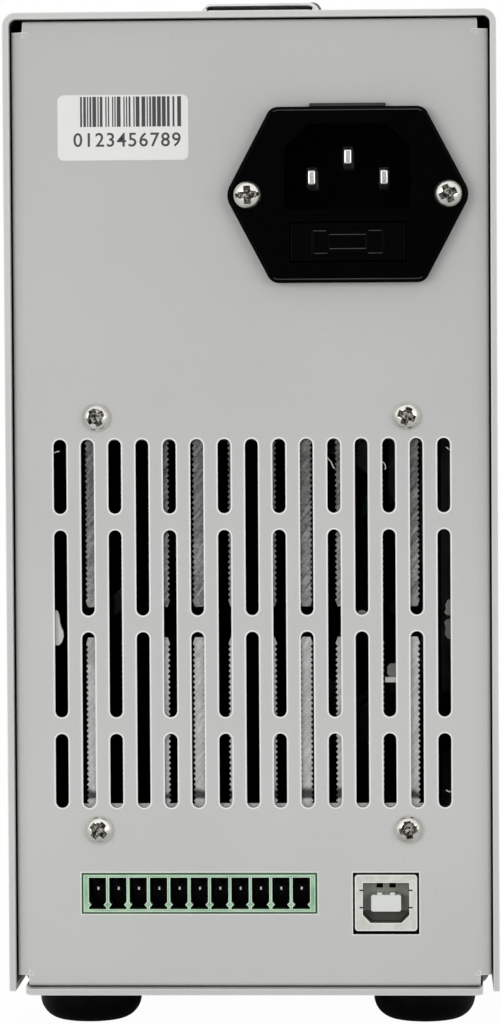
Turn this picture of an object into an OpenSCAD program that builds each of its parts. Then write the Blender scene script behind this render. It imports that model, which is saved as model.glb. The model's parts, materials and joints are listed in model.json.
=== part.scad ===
// Upright bench DC electronic load. The front faces -Y, the connector panel faces +Y, +Z is up.
// The origin is on the surface that the feet stand on, under the middle of the whole part.

/* [Case] */
// Width over the cover
case_w = 95; // [90:1:110]
// Height from the underside of the tray to the top of the cover
case_h = 190; // [172:1:215]
// Depth of the sheet-metal case behind the bezel
case_d = 236; // [225:1:290]
// Thickness of the steel sheet
sheet_t = 1.2; // [0.8:0.1:1.5]
// Outside radius of the bends in the sheet
bend_r = 2.6; // [2.2:0.1:3.5]
// Gap between the cover and the sheet parts under it
cover_gap = 0.6; // [0.4:0.1:0.9]
// How far the cover's rear edge stands out behind the rear panel
rim_depth = 2; // [1:0.5:4]
// Gap between the underside of the tray and the lower edges of the cover
cover_lift = 0.8; // [0.4:0.1:1.2]
// Height of the tray's side walls
tray_wall = 18; // [16:1:30]
// Side of the square reliefs at the corners of the rear panel
relief = 1.8; // [1.2:0.1:2.4]
// Depth of the folded edges of the rear panel
panel_fold = 10; // [8:0.5:14]

/* [Feet] */
// Diameter of a rubber foot
foot_d = 20; // [16:0.5:24]
// Height of a rubber foot
foot_h = 7; // [6:0.5:12]
// Distance of a foot's middle from the side of the case
foot_side = 14.5; // [12:0.5:20]
// Distance of a foot's middle from the end of the case
foot_inset = 18; // [14:0.5:30]
// Radius of the rounded lower edge of a foot
foot_edge = 4.5; // [2:0.5:5]
// Depth of the screw recess in a foot
foot_recess = 3.5; // [2.5:0.1:4.5]

/* [Screws] */
// Thread diameter of the machine screws
screw_d = 3; // [2.5:0.1:3.5]
// Length of the thread under the head
screw_l = 8; // [7:0.5:9]
// Diameter of a pan head
head_d = 5.4; // [4.8:0.1:6]
// Height of a pan head
head_h = 1.9; // [1.4:0.1:2.4]
// Gap between a thread and its hole
screw_gap = 0.1; // [0.05:0.05:0.3]

/* [Vents] */
// Columns of slots in the rear panel
vent_n = 15; // [11:2:15]
// Distance between the columns
vent_pitch = 5.3; // [4.6:0.1:5.6]
// Width of a slot
slot_w = 2.5; // [1.8:0.1:3]
// Height of the whole vent
vent_h = 71.5; // [66:0.5:72]
// Height of the vent's middle above the underside of the tray
vent_z = 72; // [70:0.5:78]
// Solid bridge between two slots of one column
bridge = 3.2; // [2.4:0.1:4.4]
// Length of the short slots
short_slot = 14.4; // [10:0.2:18]
// Columns of intake slots in each side of the cover
intake_n = 9; // [5:1:11]

/* [Heatsinks] */
// Width of a heatsink
sink_w = 72; // [70:1:76]
// Length of a heatsink
sink_l = 128; // [120:1:135]
// Thickness of a heatsink's base
sink_base = 9; // [8:0.5:10]
// Fins on a heatsink
fin_n = 10; // [8:1:10]
// Distance between the fins
fin_pitch = 6.92; // [6:0.02:6.92]
// Thickness of a fin between its teeth
fin_t = 1.6; // [1.2:0.1:2.2]
// Gap between the fin tips of the two heatsinks
fin_gap = 6.4; // [4:0.2:10]
// Distance between the teeth on a fin's sides
tooth_pitch = 1.05; // [0.8:0.05:1.6]
// Height of a tooth on a fin's side
tooth_h = 0.45; // [0.2:0.05:0.5]
// How far the lower heatsink sits up from a mirror image of the upper one
sink_offset = 0.5; // [0:0.1:0.6]
// Distance across between the screws in the bases
sink_screw_w = 60; // [54:1:62]
// Distance up between the screws in the two bases
sink_screw_h = 80; // [79:0.5:84]

/* [Fan] */
// Side of the fan's square frame
fan_w = 70; // [66:1:70]
// Thickness of the fan
fan_t = 25; // [20:1:30]
// Distance between the fan's screws
fan_screw_w = 61.5; // [59:0.5:61.5]
// Diameter of the rotor's hub
fan_hub_d = 30; // [26:1:36]
// Blades on the rotor
blade_n = 7; // [5:1:9]
// Thickness of a blade
blade_t = 1.5; // [1:0.1:2]
// Gap round the blade tips
blade_gap = 1; // [0.6:0.1:1.5]
// Diameter of the rotor's shaft
fan_shaft_d = 3; // [2:0.5:4]

/* [Mains inlet] */
// Place of the inlet across the panel
inlet_x = -18.9; // [-22:0.1:-15]
// Height of the inlet's middle above the underside of the tray
inlet_z = 154.6; // [152:0.1:158]
// Height of the inlet's flange
inlet_h = 33.8; // [33:0.2:36]
// Length of the flange's top and bottom edges
inlet_top_w = 29; // [28:0.5:32]
// Distance between the inlet's screws
inlet_screw_w = 38.5; // [38:0.5:40]
// Radius of the flange round a screw
inlet_ear_r = 3.9; // [3.4:0.1:4.5]
// Thickness of the inlet's flange
inlet_flange_t = 3; // [2.5:0.1:4]
// Depth of the inlet's body behind the panel
inlet_body_d = 28; // [27:0.5:34]
// Width of the plug socket
socket_w = 24.4; // [24:0.1:25]
// Height of the plug socket
socket_h = 16.4; // [16:0.1:17]
// Depth of the plug socket
socket_d = 18; // [16:0.5:20]
// Height of the socket's middle above the inlet's middle
socket_rise = 5.4; // [5.2:0.1:5.8]
// Cut across the socket's two upper corners
socket_cut = 4.6; // [4:0.1:5]
// Width of the fuse drawer
drawer_w = 22; // [21.6:0.1:22.4]
// Height of the fuse drawer
drawer_h = 7.2; // [6.8:0.1:7.4]
// Depth of the fuse drawer's middle below the inlet's middle
drawer_drop = 9.1; // [8.9:0.1:9.3]
// Depth of the fuse drawer
drawer_d = 23; // [20:0.5:25]
// Gap round the fuse drawer
drawer_gap = 0.3; // [0.2:0.05:0.4]

/* [Signal header] */
// Places in the header
way_n = 11; // [8:1:11]
// Distance between the places
way_pitch = 3.96; // [3.6:0.02:4]
// Place of the header's middle across the panel
header_x = 10.6; // [9:0.1:12]
// Height of the header
header_h = 7.2; // [7:0.1:8.2]
// Depth of the header
header_d = 12; // [10:0.5:14]
// Width of one cell
cell_w = 3.4; // [3:0.1:3.4]
// Height of one cell
cell_h = 6.2; // [5.4:0.1:6.2]
// Side of a square pin
way_pin = 0.8; // [0.7:0.1:1.1]

/* [USB socket] */
// Width of the shell
usb_w = 12.04; // [11.8:0.02:12.4]
// Height of the shell
usb_h = 10.9; // [10.6:0.1:11.2]
// Depth of the shell
usb_d = 16; // [14:0.5:18]
// Place of the socket across the panel
usb_x = -25.6; // [-28:0.1:-24]
// Width of the mouth
usb_mouth_w = 9; // [8.6:0.1:9.4]
// Height of the mouth
usb_mouth_h = 7.8; // [7.4:0.1:8.2]
// Depth of the mouth
usb_mouth_d = 9; // [8:0.5:11]
// Gap between the panel and a socket in it
panel_gap = 0.4; // [0.3:0.05:0.6]
// Height of the interface board's underside above the underside of the tray
interface_z = 23.2; // [23:0.1:24]

/* [Boards] */
// Thickness of a circuit board
board_t = 1.6; // [1.2:0.2:1.6]
// Height of the pillars between a heatsink and its board
pillar_h = 10; // [9:0.5:11]
// Distance across the flats of a pillar
pillar_af = 5.5; // [5:0.5:6]
// Width between the main board's edge and the tray wall
board_side = 2.5; // [2:0.1:3.5]

/* [Bezel] */
// Depth of the front bezel
bezel_d = 20; // [19:0.5:28]
// Thickness of the bezel's front wall
bezel_wall = 2.5; // [2:0.1:3]
// Thickness of the bezel's side walls
bezel_side = 2.2; // [1.8:0.1:2.6]
// Radius of the bezel's front edges
bezel_edge = 4; // [2:0.5:5]
// Width of the display window
window_w = 68; // [64:1:70]
// Height of the display window
window_h = 42; // [38:1:42]
// Thickness of the display window
window_t = 1.4; // [1:0.1:1.6]
// Width of the frame round the visible area
window_frame = 3; // [2:0.5:5]
// Distance of the display window from the top of the case
window_top = 13; // [12:0.5:15]

/* [Keys] */
// Width of a key
key_w = 10.5; // [9:0.1:11]
// Height of a key
key_h = 8; // [7:0.1:8.4]
// Distance across between the keys
key_pitch_w = 13.5; // [13.2:0.1:14]
// Distance up between the keys
key_pitch_h = 11.5; // [11:0.1:12]
// How far a key stands out of the bezel
key_proud = 2.2; // [1.6:0.1:3]
// Travel of a key
key_travel = 1; // [0.6:0.1:1.2]
// Gap round a key
key_gap = 0.3; // [0.2:0.05:0.4]
// Distance of the keypad's middle from the side of the case
keypad_side = 30; // [29:0.5:31]
// Distance of the keypad from the display window
keypad_drop = 10.25; // [8:0.25:11]

/* [Knob] */
// Diameter of the knob
knob_d = 25; // [22:1:26]
// Length of the knob
knob_l = 15; // [12:0.5:18]
// Distance of the knob's middle from the side of the case
knob_side = 23.5; // [21:0.5:24]
// Push travel of the knob
knob_travel = 0.6; // [0.4:0.1:0.9]
// Gap between the knob and the bezel
knob_gap = 1.6; // [1.4:0.1:2.5]
// Diameter of the knob's shaft
shaft_d = 4; // [3:0.5:4.5]

/* [Mains switch] */
// Distance of the switch's middle from the side of the case
switch_side = 18.5; // [17:0.5:20]
// Length of the rocker
rocker_l = 15; // [13:0.5:16]
// Width of the rocker
rocker_w = 10; // [8:0.5:11]
// Tilt of the rocker to each side
rocker_tilt = 8; // [5:1:10]

/* [Terminals] */
// Distance across between the two load posts
post_pitch = 28; // [26:0.5:29]
// Distance of the positive load post's middle from the side of the case
post_side = 19.5; // [18.5:0.5:21]
// Diameter of a post's cap
cap_d = 18; // [16:0.5:20]
// Length of a post's cap
cap_l = 16; // [14:0.5:20]
// Diameter of a post's stud
stud_d = 8; // [7:0.5:9]
// Diameter of the plug socket in a stud or sense jack
plug_d = 4; // [3.8:0.1:4.2]
// Depth of the plug socket in a stud or sense jack
plug_l = 18; // [16:0.5:20]
// Distance of the sense jacks' middles from the lower edge of the front board
sense_drop = 10.25; // [8:0.25:11]
// Width of a busbar
bus_w = 14; // [12:0.5:16]
// Thickness of a busbar
bus_t = 2; // [1.5:0.1:3]

/* [Handle] */
// Length of the handle over its end caps
handle_l = 146; // [130:1:170]
// Width of an end cap
handle_w = 24.8; // [22:0.2:28]
// Height of an end cap
handle_cap_h = 6.3; // [5.8:0.1:8]
// Length of an end cap
handle_cap_l = 24; // [20:0.5:28]
// Thickness of an end cap's sheet
handle_sheet = 0.7; // [0.6:0.1:1.2]
// Thickness of the strap
strap_t = 3.2; // [2.6:0.1:3.6]
// Rise of the strap's middle over its ends
strap_rise = 7.6; // [6:0.1:9]

/* [Hidden] */
$fn = 48;
eps = 0.01;
far = 400;

// Clearances
run_gap = 0.05;
seat_gap = 0.3;
fit_gap = 0.02;

// Small sizes of single pieces
hole_r = screw_d / 2 + screw_gap;
post_flange_t = 3;
post_flange_r = cap_d / 2 + 1;
washer_t = 1.6;
pull_h = 1;
lip_notch = 1.4;
wall_end_gap = 2;
front_screw_in = 20;
rear_screw_in = 14;
fold_screw_down = 40;
sunk_h = sheet_t + cover_gap - seat_gap / 2;

// Front to rear
front_reach = max(post_flange_t + washer_t + 2 * seat_gap + cap_l, knob_gap + knob_l);
rear_reach = max(0, inlet_flange_t + max(head_h, pull_h) - rim_depth);
overall_d = front_reach + bezel_d + case_d + rear_reach;
y_face = front_reach - overall_d / 2;
y_wall = y_face + bezel_wall;
y_case = y_face + bezel_d;
y_rim = y_case + case_d;
y_panel = y_rim - rim_depth;
y_inner = y_panel - sheet_t;
y_sink = y_inner - sink_l;
y_fan = y_sink - sheet_t - fan_t;
y_fan_back = y_sink - sheet_t;
y_mid = (y_face + y_rim) / 2;

// Bottom to top
z_tray = foot_h;
z_floor = z_tray + sheet_t;
z_top = z_tray + case_h;
z_vent = z_tray + vent_z;
z_inlet = z_tray + inlet_z;
z_interface = z_tray + interface_z;
z_header = z_interface - header_h / 2;
z_usb = z_interface - usb_h / 2;
sink_out = sink_screw_h / 2 + sink_base / 2;
fin_h = sink_screw_h / 2 - sink_base / 2 - fin_gap / 2;
z_upper = z_vent + sink_out;
z_lower = z_vent - sink_out + sink_offset;
z_main = z_upper + pillar_h;
z_low_board = z_lower - pillar_h - board_t;

// Sheet parts under the cover
in_x = case_w / 2 - sheet_t - cover_gap;
wall_x = in_x - sheet_t;
z_panel_low = z_floor + cover_gap;
z_panel_high = z_top - sheet_t - cover_gap;
y_tray_wall_end = y_inner - panel_fold - wall_end_gap;
z_side_screw = (z_floor + z_tray + tray_wall) / 2;
side_screws = [
    [y_case + front_screw_in, z_side_screw], [y_tray_wall_end - rear_screw_in, z_side_screw],
    [y_panel - (panel_fold + bend_r) / 2, z_top - fold_screw_down]
];
foot_x = case_w / 2 - foot_side;
foot_ys = [y_case + foot_inset, y_rim - foot_inset];

// Front board and keys
key_lip = 1;
key_flange_t = 1.2;
key_r = 1.5;
key_dish_r = 24;
key_dish = 0.35;
stem_r = 1.4;
stem_in = 1;
switch_w = 6;
switch_h = 4.3;
y_key_flange = y_wall + seat_gap;
y_key_back = y_key_flange + key_flange_t;
y_key_switch = y_key_back + key_travel + seat_gap;
y_board = y_key_switch + switch_h;
key_columns = 3;
key_rows = 4;
key_names = [
    "key_7", "key_8", "key_9",
    "key_4", "key_5", "key_6",
    "key_1", "key_2", "key_3",
    "key_0", "key_point", "key_load"
];
keypad_h = (key_rows - 1) * key_pitch_h + key_h;
keypad_x = keypad_side - case_w / 2;
z_window = z_top - window_top - window_h / 2;
z_keypad = z_window - window_h / 2 - keypad_drop - keypad_h / 2;
knob_x = case_w / 2 - knob_side;
z_knob = z_keypad;
board_over = 7.5;
board_under = 10;
board_rim = 0.4;
z_board_top = z_window + window_h / 2 + board_over;
z_board_low = z_keypad - keypad_h / 2 - board_under;
board_x = max(window_w / 2, sink_w / 2) + board_rim;
stay_in = 4;
stay_x = board_x - stay_in;
stay_zs = [z_board_low + stay_in, z_board_top - stay_in];
stay_r = 2.5;
boss_in = 7;
boss_x = case_w / 2 - boss_in;
boss_zs = [z_tray + boss_in, z_top - boss_in];
boss_r = 3;
boss_bore = 10;

// Terminals and switch
post_share = 0.5484;
z_sense = z_board_low - sense_drop;
z_post = z_tray + post_share * (z_sense - z_tray);
z_switch = z_post;
switch_x = switch_side - case_w / 2;
post_xs = [case_w / 2 - post_side - post_pitch, case_w / 2 - post_side];

// Rear panel connectors
inlet_wall = 1.6;
inlet_edge = 1.5;
inlet_body_w = socket_w + 2 * inlet_wall;
inlet_body_h = inlet_h - 2 * inlet_edge;
pin_w = 2;
pin_h = 4;
pin_pitch = 14;
pin_step = 4;
pin_short = 3;
way_end = 2.7;
header_proud = 0.3;
usb_proud = 0.4;
usb_drop = 0.3;
tongue_w = 5.8;
tongue_h = 3.2;
tongue_drop = 0.2;
header_w = (way_n - 1) * way_pitch + 2 * way_end;
y_header = y_panel + header_proud - header_d;
y_usb = y_panel + usb_proud - usb_d;
interface_d = 44;
fuse_d = 5;
fuse_l = 20;

// Main board and busbars
main_w = 2 * (wall_x - board_side);
bus_x = main_w / 2 - bus_t;
bus_in = 7;
rise_in = 8;
post_wall = 2;
nut_t = 4;
y_bus = y_case + sheet_t + bus_in;
y_rise = y_sink + rise_in;
body_r = stud_d / 2 + post_wall;

// Handle
y_caps = [y_mid - handle_l / 2, y_mid + handle_l / 2 - handle_cap_l];
strap_side = 0.6;
strap_seat = 1.2;
strap_bite = 2;
strap_w = handle_w - 2 * handle_sheet - 2 * strap_side;
strap_low = z_top + strap_seat;
strap_half = handle_l / 2 - handle_cap_l + strap_bite;
strap_r = (strap_rise * strap_rise + strap_half * strap_half) / (2 * strap_rise);
handle_pin_r = 2.2;

paint = [0.78, 0.78, 0.77];
panel_paint = [0.72, 0.73, 0.71];
zinc = [0.75, 0.76, 0.77];
black = [0.06, 0.06, 0.065];
nickel = [0.8, 0.8, 0.8];

// Flat outlines and ways to extrude them

// Extrudes an outline drawn in X and Z from one Y to another
module along_y(y0, y1) {
    translate([0, y1, 0])
        rotate([90, 0, 0])
            linear_extrude(y1 - y0)
                children();
}

// Extrudes an outline drawn in Y and Z from one X to another
module along_x(x0, x1) {
    translate([x0, 0, 0])
        rotate([90, 0, 90])
            linear_extrude(x1 - x0)
                children();
}

// A round bar along Y
module bar_y(x, z, r, y0, y1) {
    translate([x, y1, z])
        rotate([90, 0, 0])
            cylinder(r = r, h = y1 - y0);
}

// A round bar along X
module bar_x(y, z, r, x0, x1) {
    translate([x0, y, z])
        rotate([0, 90, 0])
            cylinder(r = r, h = x1 - x0);
}

module rounded(w, h, r) {
    square([w, h - 2 * r], center = true);
    square([w - 2 * r, h], center = true);
    for (sx = [-1, 1], sy = [-1, 1])
        translate([sx * (w / 2 - r), sy * (h / 2 - r)])
            circle(r);
}

// A rectangle whose two upper corners are rounded
module arch(w, low, high, r) {
    translate([-w / 2, low])
        square([w, high - r - low]);
    translate([-w / 2 + r, low])
        square([w - 2 * r, high - low]);
    for (s = [-1, 1])
        translate([s * (w / 2 - r), high - r])
            circle(r);
}

// A rectangle whose two lower corners are rounded
module trough(w, low, high, r) {
    translate([0, low + high])
        mirror([0, 1])
            arch(w, low, high, r);
}

// A rectangle that starts at its first axis's zero with two rounded corners
module nose(length, w, r) {
    translate([r, -w / 2])
        square([length - r, w]);
    translate([0, -w / 2 + r])
        square([length, w - 2 * r]);
    for (s = [-1, 1])
        translate([r, s * (w / 2 - r)])
            circle(r);
}

// An upright slot with round ends
module slot(x, low, high) {
    translate([x - slot_w / 2, low + slot_w / 2])
        square([slot_w, high - low - slot_w]);
    for (z = [low + slot_w / 2, high - slot_w / 2])
        translate([x, z])
            circle(slot_w / 2);
}

// The bend and fold of a sheet edge, from its outer corner, folded along the first axis
module fold(reach) {
    intersection() {
        translate([-bend_r, -bend_r])
            difference() {
                circle(bend_r);
                circle(bend_r - sheet_t);
            }
        translate([-bend_r, -bend_r])
            square(bend_r + 1);
    }
    translate([-reach, -sheet_t])
        square([reach - bend_r, sheet_t]);
}

// A pan-head screw that stands on its thread, with its head's seat at zero
module screw(length) {
    dome_r = head_d * 0.62;
    cross_l = head_d * 0.6;
    cross_w = head_d * 0.14;
    cross_z = head_h * 0.45;
    difference() {
        rotate_extrude()
            intersection() {
                square([head_d / 2, head_h]);
                translate([0, head_h - dome_r])
                    circle(dome_r);
            }
        for (turn = [0, 90])
            rotate(turn)
                translate([-cross_l / 2, -cross_w / 2, cross_z])
                    cube([cross_l, cross_w, head_h]);
    }
    translate([0, 0, -length])
        cylinder(r = screw_d / 2, h = length);
}

// A countersunk screw, with the face of its head at zero
module flat_screw(length) {
    cross_l = head_d * 0.6;
    cross_w = head_d * 0.14;
    difference() {
        translate([0, 0, -sunk_h])
            cylinder(r1 = screw_d / 2, r2 = head_d / 2, h = sunk_h);
        for (turn = [0, 90])
            rotate(turn)
                translate([-cross_l / 2, -cross_w / 2, -sunk_h / 2])
                    cube([cross_l, cross_w, sunk_h]);
    }
    translate([0, 0, -length])
        cylinder(r = screw_d / 2, h = length - sunk_h);
}

// The hole that a countersunk screw needs in the cover
module sunk_hole() {
    translate([0, 0, -sunk_h])
        cylinder(r1 = screw_d / 2 + fit_gap, r2 = head_d / 2 + fit_gap, h = sunk_h);
}

// Puts its children at the screws in the cover's sides, looking out of the cover
module at_side_screws() {
    for (s = [0, 1])
        mirror([s, 0, 0])
            for (p = side_screws)
                translate([case_w / 2, p[0], p[1]])
                    rotate([0, 90, 0])
                        children();
}

// The holes for these screws in the sheets under the cover
module side_screw_holes() {
    at_side_screws()
        translate([0, 0, -screw_l - 1])
            cylinder(r = hole_r, h = screw_l);
}

module screw_y(x, y, z, length) {
    translate([x, y, z])
        rotate([-90, 0, 0])
            screw(length);
}

// Case

module top_cover() {
    intake_in = 24;
    half_slot = (vent_h - bridge) / 2;
    color(paint)
    difference() {
        along_y(y_case, y_rim)
            difference() {
                arch(case_w, z_tray + cover_lift, z_top, bend_r);
                arch(case_w - 2 * sheet_t, z_tray, z_top - sheet_t, bend_r - sheet_t);
            }
        at_side_screws()
            sunk_hole();
        along_x(-far, far)
            for (i = [0:intake_n - 1], s = [-1, 1])
                slot(y_case + intake_in + i * vent_pitch,
                     z_vent + s * (bridge + half_slot) / 2 - half_slot / 2,
                     z_vent + s * (bridge + half_slot) / 2 + half_slot / 2);
    }
}

module bottom_tray() {
    color(paint)
    difference() {
        along_y(y_case, y_rim)
            difference() {
                trough(2 * in_x, z_tray, z_tray + tray_wall, bend_r);
                trough(2 * wall_x, z_floor, z_tray + tray_wall + 1, bend_r - sheet_t);
            }
        for (s = [0, 1])
            mirror([s, 0, 0])
                translate([in_x - lip_notch, y_tray_wall_end, z_tray - 1])
                    cube([far, far, tray_wall + 2]);
        side_screw_holes();
        for (s = [-1, 1], y = foot_ys)
            translate([s * foot_x, y, 0])
                cylinder(r = hole_r, h = z_tray + tray_wall);
    }
}

module vent_slots() {
    low = z_vent - vent_h / 2;
    high = z_vent + vent_h / 2;
    for (i = [0:vent_n - 1]) {
        x = (i - (vent_n - 1) / 2) * vent_pitch;
        if (i % 2 == 0) {
            slot(x, low, low + short_slot);
            slot(x, low + short_slot + bridge, high - short_slot - bridge);
            slot(x, high - short_slot, high);
        } else {
            slot(x, low, z_vent - bridge / 2);
            slot(x, z_vent + bridge / 2, high);
        }
    }
}

module rear_panel() {
    plate_w = 2 * (in_x - bend_r);
    panel_h = z_panel_high - z_panel_low;
    color(panel_paint)
    difference() {
        union() {
            along_y(y_inner, y_panel)
                translate([-plate_w / 2, z_panel_low + bend_r])
                    square([plate_w, panel_h - 2 * bend_r]);
            for (s = [0, 1])
                mirror([s, 0, 0])
                    translate([in_x, y_panel, z_panel_low + relief])
                        linear_extrude(panel_h - 2 * relief)
                            mirror([1, -1])
                                fold(panel_fold);
            along_x(-in_x + relief, in_x - relief) {
                translate([y_panel, z_panel_high])
                    fold(panel_fold);
                translate([y_panel, z_panel_low])
                    mirror([0, 1])
                        fold(panel_fold);
            }
        }
        along_y(y_inner - 1, y_panel + 1) {
            vent_slots();
            for (sx = [-1, 1], sz = [-1, 1])
                translate([sx * sink_screw_w / 2, z_vent + sz * sink_screw_h / 2])
                    circle(hole_r);
            translate([inlet_x, z_inlet])
                square([inlet_body_w + panel_gap, inlet_body_h + panel_gap], center = true);
            for (s = [-1, 1])
                translate([inlet_x + s * inlet_screw_w / 2, z_inlet])
                    circle(hole_r);
            translate([header_x, z_header])
                square([header_w + 2 * panel_gap, header_h + 2 * panel_gap], center = true);
            translate([usb_x, z_usb - usb_drop / 2])
                square([usb_w + 2 * panel_gap, usb_h + 2 * panel_gap + usb_drop], center = true);
        }
        side_screw_holes();
    }
}

module rubber_feet() {
    color(black)
    for (s = [-1, 1], y = foot_ys)
        translate([s * foot_x, y, 0])
            difference() {
                rotate_extrude()
                    intersection() {
                        square([foot_d / 2, foot_h]);
                        union() {
                            square([foot_d / 2 - foot_edge, foot_h]);
                            translate([0, foot_edge])
                                square([foot_d / 2, foot_h]);
                            translate([foot_d / 2 - foot_edge, foot_edge])
                                circle(foot_edge);
                        }
                    }
                translate([0, 0, -1])
                    cylinder(r = hole_r, h = foot_h + 2);
                translate([0, 0, -1])
                    cylinder(r = head_d / 2 + seat_gap, h = foot_recess + 1);
            }
}

// Screws

module case_screws() {
    color(nickel) {
        at_side_screws()
            flat_screw(screw_l);
        for (s = [-1, 1], y = foot_ys)
            translate([s * foot_x, y, foot_recess])
                rotate([180, 0, 0])
                    screw(screw_l);
        for (s = [-1, 1], z = boss_zs)
            screw_y(s * boss_x, y_case + sheet_t, z, screw_l);
        for (s = [-1, 1], z = stay_zs)
            screw_y(s * stay_x, y_board + board_t, z, screw_l);
        for (sx = [-1, 1], sz = [-1, 1]) {
            translate([sx * sink_screw_w / 2, y_fan_back, z_vent + sz * sink_screw_h / 2])
                rotate([90, 0, 0])
                    screw(screw_l);
            translate([sx * fan_screw_w / 2, y_fan, z_vent + sz * fan_screw_w / 2])
                rotate([90, 0, 0])
                    screw(fan_t + sheet_t);
        }
    }
}

module rear_screws() {
    color(nickel) {
        for (sx = [-1, 1], sz = [-1, 1])
            screw_y(sx * sink_screw_w / 2, y_panel, z_vent + sz * sink_screw_h / 2, screw_l);
        for (s = [-1, 1])
            screw_y(inlet_x + s * inlet_screw_w / 2, y_panel + inlet_flange_t, z_inlet, screw_l);
    }
}

// Handle

module handle_caps() {
    color(nickel)
    for (y = y_caps) {
        along_y(y, y + handle_cap_l)
            difference() {
                arch(handle_w, z_top, z_top + handle_cap_h, bend_r);
                arch(handle_w - 2 * handle_sheet, z_top - 1, z_top + handle_cap_h - handle_sheet,
                     bend_r - handle_sheet);
            }
        translate([0, y + handle_cap_l / 2, z_top])
            cylinder(r = handle_pin_r, h = handle_cap_h - handle_sheet / 2);
    }
}

module handle_strap() {
    play = 3;
    bow_z = strap_low + strap_rise - strap_r;
    end_l = handle_cap_l;
    color(black)
    difference() {
        along_x(-strap_w / 2, strap_w / 2)
            translate([y_mid, 0]) {
                intersection() {
                    translate([0, bow_z])
                        difference() {
                            circle(strap_r + strap_t, $fn = 360);
                            circle(strap_r, $fn = 360);
                        }
                    translate([-strap_half, strap_low])
                        square([2 * strap_half, strap_rise + strap_t + 1]);
                }
                for (s = [-1, 1])
                    translate([s * (handle_l / 2 - end_l / 2) - end_l / 2, strap_low])
                        square([end_l, strap_t]);
            }
        for (y = y_caps)
            translate([0, y + handle_cap_l / 2, z_top])
                linear_extrude(handle_cap_h)
                    square([2 * (handle_pin_r + seat_gap), 2 * (handle_pin_r + play)], center = true);
    }
}

// Mains inlet

module inlet_outline() {
    corner_r = 2.4;
    hull() {
        for (s = [-1, 1]) {
            translate([s * inlet_screw_w / 2, 0])
                circle(inlet_ear_r, $fn = 32);
            for (v = [-1, 1])
                translate([s * (inlet_top_w / 2 - corner_r / 2), v * (inlet_h / 2 - corner_r)])
                    circle(corner_r, $fn = 32);
        }
    }
}

module socket_outline() {
    w = socket_w / 2;
    h = socket_h / 2;
    polygon([
        [-w, -h], [w, -h], [w, h - socket_cut], [w - socket_cut, h],
        [-w + socket_cut, h], [-w, h - socket_cut]
    ]);
}

// Places of the live, neutral and earth pins from the socket's middle
pin_places = [
    [-pin_pitch / 2, -pin_step / 2], [pin_pitch / 2, -pin_step / 2], [0, pin_step / 2]
];

module inlet_body() {
    y_front = y_panel + inlet_flange_t;
    tab_w = 14.6;
    tab_h = 0.7;
    drawer_back = 2;
    chamfer = 0.6;
    color(black)
    difference() {
        union() {
            translate([inlet_x, 0, z_inlet])
                hull() {
                    along_y(y_panel, y_front - chamfer)
                        inlet_outline();
                    along_y(y_front - eps, y_front)
                        offset(delta = -chamfer)
                            inlet_outline();
                }
            along_y(y_panel - inlet_body_d, y_panel + 1)
                translate([inlet_x, z_inlet])
                    square([inlet_body_w, inlet_body_h], center = true);
            along_y(y_panel, y_panel + inlet_flange_t / 2)
                translate([inlet_x - tab_w / 2, z_inlet])
                    square([tab_w, inlet_h / 2 + tab_h]);
        }
        along_y(y_front - socket_d, y_front + 1)
            translate([inlet_x, z_inlet + socket_rise])
                socket_outline();
        along_y(y_front - drawer_d - drawer_back, y_front + 1)
            translate([inlet_x, z_inlet - drawer_drop])
                square([drawer_w + 2 * drawer_gap, drawer_h + 2 * drawer_gap], center = true);
        along_y(y_panel - inlet_body_d - 1, y_front)
            translate([inlet_x, z_inlet + socket_rise])
                for (p = pin_places)
                    translate(p)
                        square([pin_w + 2 * run_gap, pin_h + 2 * run_gap], center = true);
        for (s = [-1, 1])
            bar_y(inlet_x + s * inlet_screw_w / 2, z_inlet, hole_r, y_panel - 1, y_front + 1);
    }
}

module inlet_pins() {
    tail = 7;
    point = 1.4;
    point_w = 1.5;
    point_h = 2.7;
    y_tip = y_panel + inlet_flange_t - pin_short;
    color(nickel)
    for (p = pin_places)
        translate([inlet_x + p[0], 0, z_inlet + socket_rise + p[1]])
            hull() {
                along_y(y_panel - inlet_body_d - tail, y_tip - point)
                    square([pin_w, pin_h], center = true);
                along_y(y_tip - eps, y_tip)
                    square([point_w, point_h], center = true);
            }
}

// Middle of the fuse, in front of the drawer's back wall
fuse_back = 3;
fuse_y = y_panel + inlet_flange_t - drawer_d + fuse_d / 2 + fuse_back;

module fuse_drawer() {
    y_front = y_panel + inlet_flange_t;
    z_mid = z_inlet - drawer_drop;
    pull_w = 13.6;
    pull_t = 4.5;
    grip_w = 7;
    grip_t = 2.6;
    bed_r = fuse_d / 2 + run_gap;
    color(black)
    difference() {
        union() {
            along_y(y_front - drawer_d, y_front)
                translate([inlet_x, z_mid])
                    square([drawer_w, drawer_h], center = true);
            along_y(y_front, y_front + pull_h)
                translate([inlet_x, z_mid])
                    square([pull_w, pull_t], center = true);
        }
        along_y(y_front + pull_h / 3, y_front + pull_h + 1)
            translate([inlet_x, z_mid])
                square([grip_w, grip_t], center = true);
        bar_x(fuse_y, z_mid, bed_r, inlet_x - fuse_l / 2 - run_gap, inlet_x + fuse_l / 2 + run_gap);
        translate([inlet_x - fuse_l / 2 - run_gap, fuse_y - bed_r, z_mid])
            cube([fuse_l + 2 * run_gap, 2 * bed_r, drawer_h]);
    }
}

module fuse() {
    cap_end = 5;
    cap_wall = 0.25;
    glass_r = fuse_d / 2 - cap_wall;
    z_mid = z_inlet - drawer_drop;
    color("silver") {
        bar_x(fuse_y, z_mid, glass_r, inlet_x - fuse_l / 2, inlet_x + fuse_l / 2);
        for (x = [-fuse_l / 2, fuse_l / 2 - cap_end])
            bar_x(fuse_y, z_mid, fuse_d / 2, inlet_x + x, inlet_x + x + cap_end);
    }
}

// Interface board and its sockets

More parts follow.
